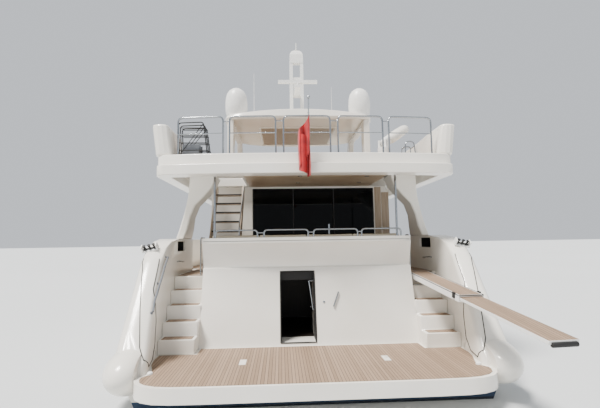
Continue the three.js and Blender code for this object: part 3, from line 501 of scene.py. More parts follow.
# node: finish, rounding of its edges in metres, angle that stays an edge in degrees; a name that
# ends in an underline stands for the starboard node and the port one
nodeFinish = {
    "hull": ("hull", 0.01, 32), "bulwark_": ("gelcoat", 0.015, 32), "quarter_wing_": ("gelcoat", 0.03, 40),
    "swim_platform": ("gelcoat", 0.02, 35), "stairs_": ("gelcoat", 0.015, 35),
    "transom": ("gelcoat", 0.015, 30), "transom_door": ("gelcoat", 0.008, 30),
    "cockpit_sofa": ("gelcoat", 0.02, 30), "cockpit_table": ("varnish", 0.008, 35),
    "deckhouse_": ("gelcoat", 0.01, 30), "deckhouse_front": ("gelcoat", 0.01, 40),
    "side_glass_": ("glass", 0.003, 30), "windscreen": ("glass", 0.003, 30),
    "aft_bulkhead": ("gelcoat", 0.006, 30), "salon_door_frame": ("glass", 0.004, 30),
    # the flybridge stairs' tan oak is partly their wood's colour and partly painted shade under the
    # flybridge
    "salon_door_leaf": ("glass", 0.004, 30), "flybridge_stairs": ("oak", 0.008, 30),
    "side_pillar_": ("gelcoat", 0.03, 30), "flybridge_deck": ("gelcoat", 0.025, 30),
    "fly_bulwark": ("gelcoat", 0.035, 30), "fly_windscreen": ("acrylic", 0.003, 30),
    "transom_rail": ("stainless", 0.0, 50), "fly_aft_rail": ("stainless", 0.0, 50),
    "hardtop": ("gelcoat", 0.03, 30), "hardtop_frame_": ("gelcoat", 0.02, 30),
    "radome_": ("paint", 0.0, 40), "mast": ("paint", 0.015, 30), "radar_scanner": ("paint", 0.02, 30),
    "davit_post": ("paint", 0.006, 35), "davit_head": ("paint", 0.02, 35),
    "davit_boom": ("paint", 0.05, 40), "fly_helm": ("gelcoat", 0.02, 30),
    "fly_sofa": ("gelcoat", 0.02, 30), "gangway_foot": ("stainless", 0.003, 35),
    "gangway_inner": ("paint", 0.008, 30), "gangway_outer": ("paint", 0.006, 30),
    "flagstaff": ("stainless", 0.0, 40), "bow_rail": ("stainless", 0.0, 50),
    "windlass": ("stainless", 0.006, 35), "anchor": ("stainless", 0.008, 30),
    "shaft_": ("bronze", 0.0, 40), "propeller_": ("bronze", 0.0, 40), "rudder_": ("bronze", 0.004, 30),
}
for name, row in nodeFinish.items():
    for node in [name + side for _, side in sides] if name.endswith("_") else [name]:
        softenNode(node, *row)
print("frame nodes finished")

# What trim is laid on: the frame's own surfaces
surfaces = {}


def surfaceOf(node):
    if node not in surfaces:
        mesh = frame["nodes"][node].data
        faces = [p.vertices[:] for p in mesh.polygons]
        surfaces[node] = BVHTree.FromPolygons([v.co for v in mesh.vertices], faces)
    return surfaces[node]


def hug(node, points, lift=0.0):
    out = []
    for point in points:
        place, normal = surfaceOf(node).find_nearest(Vector(point))[:2]
        out.append(place + normal * lift)
    return out


def dense(points, step):
    out = []
    for a, b in zip(points, points[1:]):
        a, b = Vector(a), Vector(b)
        n = max(1, math.ceil((b - a).length / step))
        out += [a.lerp(b, k / n) for k in range(n)]
    return out + [Vector(points[-1])]


def topOf(node, x, y):
    return surfaceOf(node).ray_cast(Vector((x, y, 9)), Vector((0, 0, -1)))[0]


def deckZ(x, y):
    return topOf("hull", x, y).z


# A thin strip that follows the deck: y, inner x, outer x
def deckStrip(rows, rise):
    points, faces = [], []
    for y, x0, x1 in rows:
        low0, low1 = deckZ(x0, y), deckZ(x1, y)
        points += [(x0, y, low0), (x1, y, low1), (x1, y, low1 + rise), (x0, y, low0 + rise)]
    n = len(rows)
    for r in range(n - 1):
        for k in range(4):
            m = (k + 1) % 4
            faces.append((4 * r + k, 4 * r + 4 + k, 4 * r + 4 + m, 4 * r + m))
    faces += [(0, 1, 2, 3), tuple(reversed(range(4 * n - 4, 4 * n)))]
    return points, faces


def mirroredOutline(half):
    return half + [(-x, y) for x, y in reversed(half) if x > 0]


# Teak: planks with a margin all round, 8 mm proud of the moulding; outlines are of the starboard half
teak = {
    "rise": 0.008, "sink": 0.002, "platformZ": 0.59, "cockpitZ": 2.0, "flyZ": 4.63,
    "treads": (0, 1, 2, 3, 4), "riser": 0.28194, "tread": 0.3, "stairFootY": -11.9, "stairX": (2.36, 2.95),
    "platform": [(0, -13.68), (1.8, -13.68), (2.3, -13.66), (2.53, -13.62), (2.71, -13.54), (2.82, -13.43),
                 (2.87, -13.3), (2.87, -13.2), (2.79, -13.08), (2.79, -12.9), (2.86, -12.7), (2.96, -12.42),
                 (2.96, -11.94), (2.24, -11.94), (2.24, -11.54), (0, -11.54)],
    "cockpit": [(0, -10.28), (2.3, -10.28), (2.97, -10.28), (2.97, -8.03), (0, -8.03)],
    "sideDeck": [(-8.02, 2.8, 3.38), (-6, 2.8, 3.4), (-4, 2.8, 3.4), (-2, 2.8, 3.4), (0, 2.8, 3.4),
                 (1.75, 2.76, 3.38), (3.5, 2.6, 3.3)],
    # x0, x1, y0, y1: round the stair hatch
    "fly": [(-1.55, 2.84, -11.25, 0.9), (-2.84, -1.56, -11.25, -9.78), (-2.84, -2.55, -9.77, -8.18),
            (-2.84, -1.56, -8.17, 0.9)],
}


def layTeak():
    def levels(z):
        return z - teak["sink"], z + teak["rise"]

    def lay(name, forms):
        buildPiece(name, "teak", forms, bevel=0.003)

    lay("platform_teak", [slabForm(mirroredOutline(teak["platform"]), *levels(teak["platformZ"]))])
    for side, name in sides:
        treads = []
        for i in teak["treads"]:
            if side > 0 and i == 3:
                continue  # the gangway's foot stands on this one
            y = teak["stairFootY"] + i * teak["tread"]
            z = teak["platformZ"] + (i + 1) * teak["riser"]
            treads.append(blockForm(*teak["stairX"], y + 0.03, y + 0.27, *levels(z)))
        lay("stair_teak_" + name, formsOn(side, treads))
        rows = [(y, side * x0, side * x1) for y, x0, x1 in teak["sideDeck"]]
        lay("side_deck_teak_" + name, [deckStrip(rows, teak["rise"])])
    lay("cockpit_teak", [slabForm(mirroredOutline(teak["cockpit"]), *levels(teak["cockpitZ"]))])
    lay("flybridge_teak", [blockForm(*row, *levels(teak["flyZ"])) for row in teak["fly"]])


layTeak()
print("teak laid")

# Quarter wings: groove and mooring pocket darkened as painted shade, the pocket's cleat, roller fairlead,
# and a port handrail in dull grey as painted shade
wingTrim = {
    "groove": [(3.065, -11.678, 2.433), (3.042, -11.932, 2.138), (3.035, -12.139, 1.884), (3.0, -12.22, 1.6),
               (2.972, -12.17, 1.35), (2.972, -12.16, 1.1), (2.965, -12.22, 0.84), (2.93, -12.46, 0.67),
               (2.86, -12.85, 0.66), (2.913, -12.991, 0.813), (3.017, -12.868, 0.985), (3.1, -12.636, 1.275),
               (3.174, -12.428, 1.545), (3.269, -12.105, 1.962), (3.328, -11.882, 2.231),
               (3.389, -11.638, 2.441)],
    "rail": [(3.01, -11.4, 2.43), (3.012, -11.7, 2.18), (3.005, -12.03, 1.9), (3.0, -12.28, 1.66),
             (2.98, -12.43, 1.48)],
    "railStand": (0.045, -0.02, 0.03),
    "fairlead": (3.31, -11.45, 2.62),
    "roller": [(0, 0), (0.034, 0), (0.03, 0.012), (0.022, 0.045), (0.022, 0.065), (0.03, 0.098),
               (0.034, 0.11), (0, 0.11)],
}


# Only at port: at starboard the gangway lies alongside
def portHandrail(node):
    stand = Vector(wingTrim["railStand"])
    rail = [p + stand for p in hug(node, dense(pointsOn(-1, wingTrim["rail"]), 0.08))]
    forms = [tubeForm(rail, 0.021, 12)]
    for i in (0, len(rail) // 2, len(rail) - 1):
        foot = hug(node, [rail[i]])[0]
        forms.append(tubeForm([foot, rail[i]], 0.011, 10))
        forms.append(latheForm([(0, 0), (0.028, 0), (0.028, 0.004), (0.02, 0.008), (0, 0.008)], foot,
                               (rail[i] - foot).normalized(), 20))
    # The dull grey woven finish is painted shade: it stands for a polished stainless rail lying in shade
    buildPiece("wing_handrail_port", "sling", forms, smooth=50)


def trimWings():
    for side, name in sides:
        node = "quarter_wing_" + name
        # Black strip along the wing's crease: painted shade in the groove
        groove = hug(node, dense(pointsOn(side, wingTrim["groove"]), 0.04), 0.001)
        buildPiece("wing_groove_shade_" + name, "rubber", [tubeForm(groove, 0.009, 8)])
        if side < 0:
            portHandrail(node)
        # Pocket: black sheets on the back, sole, head and ends, as painted shade inside the blind pocket
        pocketShade = blocks((3.318, 3.328, -10.44, -9.71, 2.552, 2.788),
                       *[(3.06, 3.325, -10.44, -9.71, z, z + 0.006) for z in (2.552, 2.782)],
                       *[(3.06, 3.325, y, y + 0.008, 2.552, 2.788) for y in (-10.448, -9.71)])
        buildPiece("mooring_pocket_shade_" + name, "rubber", formsOn(side, pocketShade))
        cleat = [tubeForm([(3.19, y, 2.556), (3.19, y, 2.64)], 0.018, 12) for y in (-10.13, -10.01)]
        horns = [(3.19, -10.28, 2.652), (3.19, -10.2, 2.645), (3.19, -9.94, 2.645), (3.19, -9.86, 2.652)]
        cleat.append(tubeForm(horns, [0.012, 0.019, 0.019, 0.012], 12))
        buildMetal("mooring_cleat_" + name, formsOn(side, cleat))
        # Fairlead on the sloping top, near the outer edge
        place = Vector(pointsOn(side, [wingTrim["fairlead"]])[0])
        centre, normal = surfaceOf(node).find_nearest(place)[:2]
        turn = Vector((0, 0, 1)).rotation_difference(normal).to_matrix().to_4x4()
        base = Matrix.Translation(centre) @ turn
        parts = blocks((-0.17, 0.17, -0.07, 0.07, -0.01, 0.012))
        parts += blocks(*[(x - 0.012, x + 0.012, -0.06, 0.06, 0.01, 0.12) for x in (-0.155, 0.155)])
        buildPiece("fairlead_frame_" + name, "paint", moved(parts, base), bevel=0.004)
        rollers = [latheForm(wingTrim["roller"], (x, 0, 0.01), (0, 0, 1), 24) for x in (-0.1, 0.0, 0.1)]
        rollers.append(latheForm([(0, 0), (0.018, 0), (0.018, 0.28), (0, 0.28)], (-0.14, 0, 0.03),
                                 (1, 0, 0), 20))
        buildPiece("fairlead_rollers_" + name, "rubber", moved(rollers, base))


trimWings()
print("wings trimmed")

# Transom: its sloping lower face as y and z of the foot and a slope, and the doorway in it
transomFace = {"y": -11.48, "z": 0.59, "slope": 0.42 / 1.58}
doorway = {"x": (-0.605, 0.12), "z": (0.65, 2.08), "back": -10.989}
grabBar = {"ends": ((0.015, -11.03, 1.87), (0.098, -11.06, 1.25)), "jambX": 0.115}
capSeam = [(0.0, -11.333, 2.77), (0.9, -11.313, 2.77), (1.7, -11.253, 2.77), (2.15, -11.173, 2.77),
           (2.3, -11.07, 2.77)]


def transomY(z):
    return transomFace["y"] + (z - transomFace["z"]) * transomFace["slope"]


# Door handle, lock, gasket, black reveal of the doorway and near-black sheets in the lobby as painted shade,
# grab bar and knob
def trimTransom():
    handle = [(x, transomY(z) - 0.035, z) for x, z in ((0.64, 1.64), (0.52, 1.35))]
    bracket = [tubeForm([(x, y + 0.04, z), (x, y, z)], 0.009, 10) for x, y, z in handle]
    buildMetal("transom_handle", [tubeForm(handle, 0.016, 12)] + bracket)
    lock = latheForm([(0, 0), (0.024, 0), (0.024, 0.006), (0.012, 0.012), (0, 0.012)],
                     (0.32, transomY(1.44) - 0.004, 1.44), (0, -1, 0.26), 24)
    buildPiece("transom_lock", "stainless", [lock])
    (x0, x1), (z0, z1), back = doorway["x"], doorway["z"], doorway["back"]
    low, high = transomY(z0), transomY(z1)
    ring = [(x0 - 0.01, low - 0.002, z0), (x0 - 0.01, high - 0.002, z1 + 0.01),
            (x1 + 0.01, high - 0.002, z1 + 0.01), (x1 + 0.01, low - 0.002, z0)]
    buildPiece("doorway_gasket", "rubber", [tubeForm(dense(ring + ring[:1], 0.2), 0.014, 8)])
    # Black reveal round the doorway and near-black sheets over the lobby behind it: painted shade of the
    # unlit doorway
    jamb = [(low + 0.012, z0), (back, z0), (back, z1), (high + 0.012, z1)]
    reveal = [sideForm(jamb, x0, x0 + 0.006), sideForm(jamb, x1 - 0.006, x1)]
    reveal += blocks((x0, x1, high + 0.012, back, z1 - 0.006, z1), (x0, x1, back - 0.005, back, 1.9, z1))
    buildPiece("doorway_reveal_shade", "rubber", reveal)
    lobbyShade = blocks(*[(x, x + 0.006, -10.98, -8.61, 0.645, 1.895) for x in (-0.895, 0.689)],
                    (-0.89, 0.69, -8.61, -8.604, 0.645, 1.895), (-0.89, 0.69, -10.98, -8.61, 1.892, 1.898),
                    (-0.89, 0.69, -10.9, -8.61, 0.6405, 0.6435))
    buildPiece("lobby_painted_shade", "walnut", lobbyShade)
    grab = [tubeForm(grabBar["ends"], 0.017, 12)]
    grab += [tubeForm([(x, y, z), (grabBar["jambX"], y, z)], 0.01, 10) for x, y, z in grabBar["ends"]]
    buildMetal("door_grab_bar", grab)
    knob = latheForm([(0, 0), (0.012, 0), (0.012, 0.03), (0.024, 0.036), (0.024, 0.05), (0, 0.054)],
                     (0.1275, -10.35, 1.2), (-1, 0, 0), 20)
    buildMetal("door_knob", [knob], "crew_door")
    # Low fitting at the foot of the port wing, and its twin
    rows = [(0, 0), (0.05, 0), (0.046, 0.03), (0.03, 0.045), (0, 0.05)]
    lamps = [latheForm(rows, (side * 2.78, -13.05, 0.592), (0, 0, 1), 24) for side in (1, -1)]
    buildPiece("platform_lamps", "paint", lamps)
    # Seam under the capping along the transom's top
    buildPiece("cap_seam", "rubber", both(tubeForm(dense(capSeam, 0.1), 0.004, 6)))


trimTransom()
print("transom trimmed")

# Cockpit: spots are the x and y of the downlights; run, rise and foot are those of the flybridge stairs
cockpit = {
    "spots": ((-0.096, -10.06), (1.62, -9.98), (-0.096, -8.9), (1.62, -8.9)), "spotZ": 4.379,
    "headliner": [(-1.5, -11.2), (2.1, -11.2), (2.1, -8.1), (-1.5, -8.1)], "headlinerZ": (4.378, 4.392),
    "nosings": 8, "run": 1.65 / 9, "rise": 0.263, "foot": (-9.9, 2.0), "stairX": (-2.418, -1.682),
    "stairRail": [(-1.63, -9.95, 2.3), (-1.63, -9.95, 3.15), (-1.63, -8.6, 4.28), (-1.63, -8.45, 4.36)],
    "gateRail": [(2.44, -10.62, 2.01), (2.44, -10.62, 2.86), (2.44, -10.32, 2.86), (2.44, -10.32, 2.01)],
    "grip": [(3.012, -10.02, 2.29), (2.96, -10.02, 2.3), (2.96, -10.5, 2.33), (3.012, -10.5, 2.32)],
    "pole": [(2.09, -10.85, 2.84), (2.09, -10.85, 4.392)],
}


# Veneer, headliner, lights, door tracks, stair nosings black as painted shade, stair rail, gate rails,
# grips, poles
def trimCockpit():
    veneers = blocks((2.26, 2.46, -8.012, -8.002, 2.02, 4.36), (2.475, 2.7, -8.012, -8.002, 2.02, 4.2))
    buildPiece("bulkhead_veneer", "oak", veneers, bevel=0.003)
    buildPiece("headliner", "headliner", [slabForm(cockpit["headliner"], *cockpit["headlinerZ"])],
               bevel=0.004)
    ring = [(0.045, 0), (0.062, 0), (0.062, 0.006), (0.045, 0.01), (0.04, 0.004)]
    lens = [(0, 0), (0.042, 0), (0.042, 0.003), (0.02, 0.007), (0, 0.008)]
    rings, lenses = [[latheForm(rows, (x, y, cockpit["spotZ"]), (0, 0, -1), 28)
                      for x, y in cockpit["spots"]] for rows in (ring, lens)]
    buildMetal("downlight_rings", rings)
    buildPiece("downlight_lenses", "lens", lenses)
    bars = blocks((-1.42, 2.22, -8.01, -8.0, 4.315, 4.335), (-1.42, 2.22, -8.01, -8.0, 2.0, 2.02))
    bars += blocks(*[(x - 0.014, x + 0.014, -8.008, -7.998, 2.02, 4.315)
                     for x in (-1.416, -0.21, 1.01, 2.216)])
    buildPiece("salon_door_bars", "rubber", bars, bevel=0.002)
    pull = blocks((0.84, 0.88, -7.9685, -7.966, 2.95, 3.25))  # flush, or it would foul the frame
    buildMetal("salon_door_pull", pull, "salon_door")
    # Nosing at the front of each tread, black as painted shade under the tread's edge
    nosings = []
    for i in range(cockpit["nosings"]):
        y, z = cockpit["foot"][0] + i * cockpit["run"], cockpit["foot"][1] + (i + 1) * cockpit["rise"]
        nosings.append(blockForm(*cockpit["stairX"], y - 0.006, y + 0.03, z - 0.03, z + 0.006))
    buildPiece("flybridge_stair_nosing_shade", "rubber", nosings, bevel=0.002)
    buildMetal("flybridge_stair_rail", [bentTube(cockpit["stairRail"], 0.12, 0.017)])
    for side, name in sides:
        buildMetal("gate_rail_" + name, [bentTube(pointsOn(side, cockpit["gateRail"]), 0.09, 0.017)])
        buildMetal("quarter_grip_" + name, [bentTube(pointsOn(side, cockpit["grip"]), 0.03, 0.014, 10)])
    foot = [(0, 0), (0.05, 0), (0.05, 0.006), (0.034, 0.014), (0, 0.014)]
    pole = cockpit["pole"]
    buildMetal("overhang_poles", both(tubeForm(pole, 0.026, 14)) + both(latheForm(foot, pole[0], steps=24)))


trimCockpit()
print("cockpit trimmed")

# Loungers stacked at port: how many, x from and to, first y, z from and to, and each one's offset
loungers = {"count": 3, "x": (-2.82, -2.2), "y": -11.15, "z": (4.64, 5.42), "step": (0.02, 0.1, -0.04)}
# Hoops: points, bend; rungs join them
hoopStep = {
    "hoops": (([(2.3, -11.05, 4.64), (2.32, -11.0, 5.02), (2.52, -11.0, 5.02), (2.54, -11.05, 4.64)], 0.09),
              ([(2.3, -10.7, 4.64), (2.32, -10.75, 4.95), (2.52, -10.75, 4.95), (2.54, -10.7, 4.64)], 0.06)),
    "rungs": [[(x, -11.0, 4.9), (x, -10.75, 4.9)] for x in (2.32, 2.52)],
}
# Steering wheel and dash: centre, tilt in degrees
wheel = {"radius": 0.2, "centre": (1.0, -3.78, 5.3), "tilt": 68, "spokes": (0.5, 2.6, 4.71)}
dash = {"centre": (1.0, -3.3, 5.475), "tilt": 24.6}
# Whips: x, z of the joint, z of the tip, radii; domes: places
aerials = {"whips": ((-1.5, 7.2, 8.8, [0.016, 0.012, 0.006]), (1.29, 7.0, 8.3, [0.014, 0.01, 0.005])),
           "y": -6.0, "domes": ((0.45, -5.3, 6.74), (-0.45, -5.3, 6.74), (-0.9, -5.7, 6.71))}
sunroof = {"blind": [(-1.2, -7.15), (1.2, -7.15), (1.2, -4.95), (-1.2, -4.95)], "blindZ": (6.44, 6.452),
           "frame": [(-1.25, -7.2, 6.445), (1.25, -7.2, 6.445), (1.25, -4.9, 6.445), (-1.25, -4.9, 6.445),
                     (-1.25, -7.2, 6.445)]}
coamingRail = {"path": [(-3.1, -7.8, 5.32), (-3.1, -7.8, 5.45), (-3.08, -4.0, 5.45), (-3.08, -4.0, 5.32)],
               "feet": ((-3.095, -7.0), (-3.09, -6.0), (-3.085, -5.0))}


def tilted(part):
    return Matrix.Translation(part["centre"]) @ Matrix.Rotation(math.radians(part["tilt"]), 4, "X")


def stackLoungers():
    frames, slings = [], []
    dx, dy, dz = loungers["step"]
    for k in range(loungers["count"]):
        x0, x1 = (x + dx * k for x in loungers["x"])
        y = loungers["y"] + dy * k
        z0, z1 = loungers["z"][0], loungers["z"][1] + dz * k
        loop = [(x0, y, z0), (x0 - 0.03, y, z1), (x1 - 0.1, y, z1 + 0.02), (x1, y, z0)]
        frames.append(bentTube(loop, 0.07, 0.013, 10))
        for j in range(4):
            z = z0 + 0.16 + 0.17 * j
            frames.append(tubeForm([(x0, y, z), (x1 - 0.025 * j, y, z)], 0.009, 8))
        frames.append(tubeForm([(x0, y, z0 + 0.05), (x1 - 0.1, y + 0.02, z1)], 0.009, 8))
        slings.append(blockForm(x0 + 0.05, x1 - 0.2, y + 0.035, y + 0.045, z0 + 0.03, z0 + 0.3))
    buildPiece("lounger_frames", "rubber", frames, smooth=50)
    buildPiece("lounger_slings", "sling", slings, bevel=0.002)


# Hoop step, wheel and dash, aerials, horns, lamps, sunroof, rails on the coaming
def trimFlybridge():
    stackLoungers()
    hoops = [bentTube(path, bend, 0.014, 10) for path, bend in hoopStep["hoops"]]
    buildMetal("hoop_step", hoops + [tubeForm(rung, 0.011, 8) for rung in hoopStep["rungs"]])
    r = wheel["radius"]
    forms = [tubeForm([(x, y, 0) for x, y in circle(r, r, 40)], 0.015, 10, closed=True)]
    forms += [tubeForm([(0, 0, -0.02), (r * math.cos(a), r * math.sin(a), 0)], 0.009, 8)
              for a in wheel["spokes"]]
    forms.append(latheForm([(0, -0.03), (0.04, -0.03), (0.035, 0.01), (0, 0.014)], (0, 0, 0)))
    forms.append(tubeForm([(0, 0, -0.02), (0, 0, -0.15)], 0.02, 12))
    buildMetal("fly_wheel", moved(forms, tilted(wheel)))
    panels = blocks((-0.6, -0.2, -0.13, 0.13, -0.004, 0.014), (-0.1, 0.3, -0.13, 0.13, -0.004, 0.014),
                    (0.4, 0.6, -0.1, 0.1, -0.004, 0.01))
    buildPiece("fly_dash", "glass", moved(panels, tilted(dash)), bevel=0.004)
    y = aerials["y"]
    forms = [tubeForm([(x, y, 6.66), (x, y, joint), (x, y, tip)], radii, 8)
             for x, joint, tip, radii in aerials["whips"]]
    forms += [latheForm([(0, 0), (0.04, 0), (0.03, 0.06), (0.018, 0.09), (0, 0.09)], (whip[0], y, 6.67),
                        (0, 0, 1), 20) for whip in aerials["whips"]]
    dome = [(0, 0), (0.05, 0), (0.06, 0.03), (0.055, 0.07), (0.03, 0.1), (0, 0.11)]
    forms += [latheForm(dome, place, (0, 0, 1), 24) for place in aerials["domes"]]
    buildPiece("aerials", "paint", forms, smooth=50)
    horn = [(0, 0), (0.03, 0.0), (0.03, 0.1), (0.02, 0.14), (0.02, 0.3), (0.035, 0.38), (0.07, 0.43),
            (0.066, 0.43), (0.03, 0.38), (0, 0.2)]
    buildMetal("horns", [latheForm(horn, (x, -5.2, 6.82), (0, 1, 0), 24) for x in (-0.2, -0.05)])
    lamp = [latheForm([(0, 0), (0.05, 0), (0.05, 0.05), (0.03, 0.06), (0, 0.06)], (0, -6.72, 9.28),
                      (0, 0, 1), 20)]
    lamp += both(latheForm([(0, 0), (0.035, 0), (0.035, 0.06), (0.02, 0.07), (0, 0.07)],
                           (0.17, -6.6, 8.84), (0, 0, -1), 20))
    buildPiece("mast_lamps", "lens", lamp, smooth=50)
    buildPiece("sunroof_blind", "oak", [slabForm(sunroof["blind"], *sunroof["blindZ"])], bevel=0.004)
    buildPiece("sunroof_frame", "gelcoat", [tubeForm(dense(sunroof["frame"], 0.5), 0.022, 8)], smooth=50)
    buildMetal("coaming_rails", both(bentTube(coamingRail["path"], 0.1, 0.017, 10)))
    feet = [tubeForm([(x, y, 5.31), (x, y, 5.45)], 0.011, 8) for x, y in coamingRail["feet"]]
    buildMetal("coaming_rail_feet", [form for foot in feet for form in both(foot)])


trimFlybridge()

# Rounded cover over the davit's boom: rows are its radius and the distance from the pin along the boom
davitCover = {"pin": (1.97, -10.4, 5.13), "along": (0.6561, 0.5908, 0.4695),
              "rows": [(0, 0.24), (0.07, 0.245), (0.115, 0.29), (0.132, 0.4), (0.135, 0.75), (0.13, 1.05),
                       (0.112, 1.17), (0.075, 1.23), (0.03, 1.252), (0, 1.255)]}
cover = latheForm(davitCover["rows"], davitCover["pin"], davitCover["along"], 32)
buildPiece("davit_cover", "gelcoat", [cover], "davit_boom", smooth=60)
print("flybridge trimmed")

# Hull sides: y of the windows and of the round ports, rub rail as first y, length and depth under deck
hullTrim = {
    "windows": ((-5.6, -4.2), (-3.4, -0.9), (-0.1, 2.4), (3.3, 4.7)), "windowZ": (0.86, 1.28),
    "ports": (6.2, 7.4), "portZ": (1.22, 1.52), "portLong": 0.5, "corners": (0.12, 0.14),
    "rubY": (-10.2, 23.3), "rubZ": 0.13, "rubSteps": 56, "vents": 7, "ventY": -9.0, "ventStep": 0.22,
    "exhaust": (-10.6, 0.16), "cleatsY": (-4.6, 1.2, 8.8), "railX": (2.62, 2.72), "railZ": 3.98,
    "railFeetY": (-5.8, -4.5, -3.2, -1.9), "barsY": (-5.4, -3.2, -1.0),
}


def hullSide(y, z, side):
    return surfaceOf("hull").ray_cast(Vector((side * 6, y, z)), Vector((-side, 0, 0)))[:2]


# A pane that follows the curved side: columns of points inside a rounded rectangle, and its rim
def windowForm(y0, y1, z0, z1, side, corner, lift=0.004, across=28, down=5):
    outer, inner = [], []
    for i in range(across + 1):
        y = (y0 + y1) / 2 - (y1 - y0) / 2 * math.cos(math.pi * i / across)
        short = min(corner, max(0.0, corner - min(y - y0, y1 - y)))
        inset = corner - math.sqrt(corner ** 2 - short ** 2)
        for j in range(down + 1):
            place, normal = hullSide(y, z0 + inset + (z1 - z0 - 2 * inset) * j / down, side)
            outer.append(tuple(place + normal * lift))
            inner.append(tuple(place - normal * 0.01))
    n, total = down + 1, len(outer)
    cells = [(i * n + j, (i + 1) * n + j, (i + 1) * n + j + 1, i * n + j + 1)
             for i in range(across) for j in range(down)]
    border = ([i * n for i in range(across)] + [across * n + j for j in range(down)] +
              [i * n + down for i in range(across, 0, -1)] + list(range(down, 0, -1)))
    faces = cells + [tuple(total + k for k in reversed(c)) for c in cells]
    faces += [(b, a, total + a, total + b) for a, b in zip(border, border[1:] + border[:1])]
    if side < 0:
        faces = [tuple(reversed(f)) for f in faces]
    return (outer + inner, faces), [outer[k] for k in border]


# Windows, rub rail, engine vents, exhausts
def trimTopsides(side, name):
    longCorner, portCorner = hullTrim["corners"]
    rows = [(y0, y1, *hullTrim["windowZ"], side, longCorner) for y0, y1 in hullTrim["windows"]]
    rows += [(y, y + hullTrim["portLong"], *hullTrim["portZ"], side, portCorner) for y in hullTrim["ports"]]
    windows = [windowForm(*row) for row in rows]
    buildPiece("hull_windows_" + name, "glass", [pane for pane, ring in windows])
    rims = [tubeForm(ring, 0.012, 8, closed=True) for pane, ring in windows]
    buildMetal("hull_window_rims_" + name, rims, smooth=60)
    rub = []
    for k in range(hullTrim["rubSteps"] + 1):
        y = hullTrim["rubY"][0] + hullTrim["rubY"][1] * k / hullTrim["rubSteps"]
        z = deckZ(side * (0.02 if y > 3 else 3.2), y)
        place, normal = hullSide(y, z - hullTrim["rubZ"], side)
        rub.append(place + normal * 0.004)
    buildPiece("rub_rail_" + name, "gelcoat", [tubeForm(rub, 0.035, 10)], smooth=60)
    strip = [p + Vector((side * 0.03, 0, 0)) for p in rub]
    buildMetal("rub_rail_strip_" + name, [tubeForm(strip, 0.011, 8)], smooth=60)
    vents = []
    for k in range(hullTrim["vents"]):
        place = hullSide(hullTrim["ventY"] + hullTrim["ventStep"] * k, 1.5, side)[0]
        slat = [place + Vector((0, -0.06, -0.16)), place + Vector((side * 0.02, 0.06, 0.16))]
        vents.append(tubeForm(slat, 0.014, 8))
    buildPiece("engine_vents_" + name, "rubber", vents, smooth=60)
    pipe = [(0.0, -0.05), (0.13, -0.05), (0.13, 0.03), (0.11, 0.03), (0.1, -0.03), (0, -0.03)]
    buildMetal("exhaust_" + name, [latheForm(pipe, *hullSide(*hullTrim["exhaust"], side), 32)])


# Cleats on the bulwarks, grab rails on the house, bars on its side windows
def trimSideDecks(side, name):
    cleats = []
    for y in hullTrim["cleatsY"]:
        top = topOf("bulwark_" + name, side * (3.5 if y < 5 else 2.9), y)
        posts = [[top + Vector((0, d, 0)), top + Vector((0, d, 0.06))] for d in (-0.06, 0.06)]
        cleats += [tubeForm(post, 0.014, 10) for post in posts]
        horns = [top + Vector((0, d, 0.066)) for d in (-0.17, -0.1, 0.1, 0.17)]
        cleats.append(tubeForm(horns, [0.009, 0.016, 0.016, 0.009], 10))
    buildMetal("bulwark_cleats_" + name, cleats)
    (wall, bar), z = (side * x for x in hullTrim["railX"]), hullTrim["railZ"]
    rail = [(wall, -7.2, z), (bar, -7.1, z), (bar, -0.6, z), (wall, -0.5, z)]
    feet = [tubeForm([(wall, y, z), (bar, y, z)], 0.011, 8) for y in hullTrim["railFeetY"]]
    buildMetal("house_grabrail_" + name, [bentTube(rail, 0.06, 0.016, 10)] + feet)
    bars = []
    for y in hullTrim["barsY"]:
        line = hug("side_glass_" + name, [(side * 2.75, y, 2.93), (side * 2.68, y, 3.93)], 0.004)
        bars.append(tubeForm(line, 0.02, 8))
    buildPiece("side_window_bars_" + name, "rubber", bars, smooth=50)


for side, name in sides:
    trimTopsides(side, name)
    trimSideDecks(side, name)
print("hull trimmed")

# Foredeck: rows of the canister are its radius and the distance from its middle
foredeck = {
    "hatch": (10.42, 10.96), "lockers": (10.5, 11.0), "links": 34, "linkStep": 0.055, "chainY": 11.75,
    "raftX": 1.75, "raftY": 6.3, "cradlesY": (5.98, 6.62),
    "raft": [(0, -0.55), (0.2, -0.54), (0.25, -0.48), (0.25, -0.02), (0.262, -0.015), (0.262, 0.015),
             (0.25, 0.02), (0.25, 0.48), (0.2, 0.54), (0, 0.55)],
    "wipersX": (-0.9, 0.0, 0.9), "barsX": (-0.62, 0.62),
}


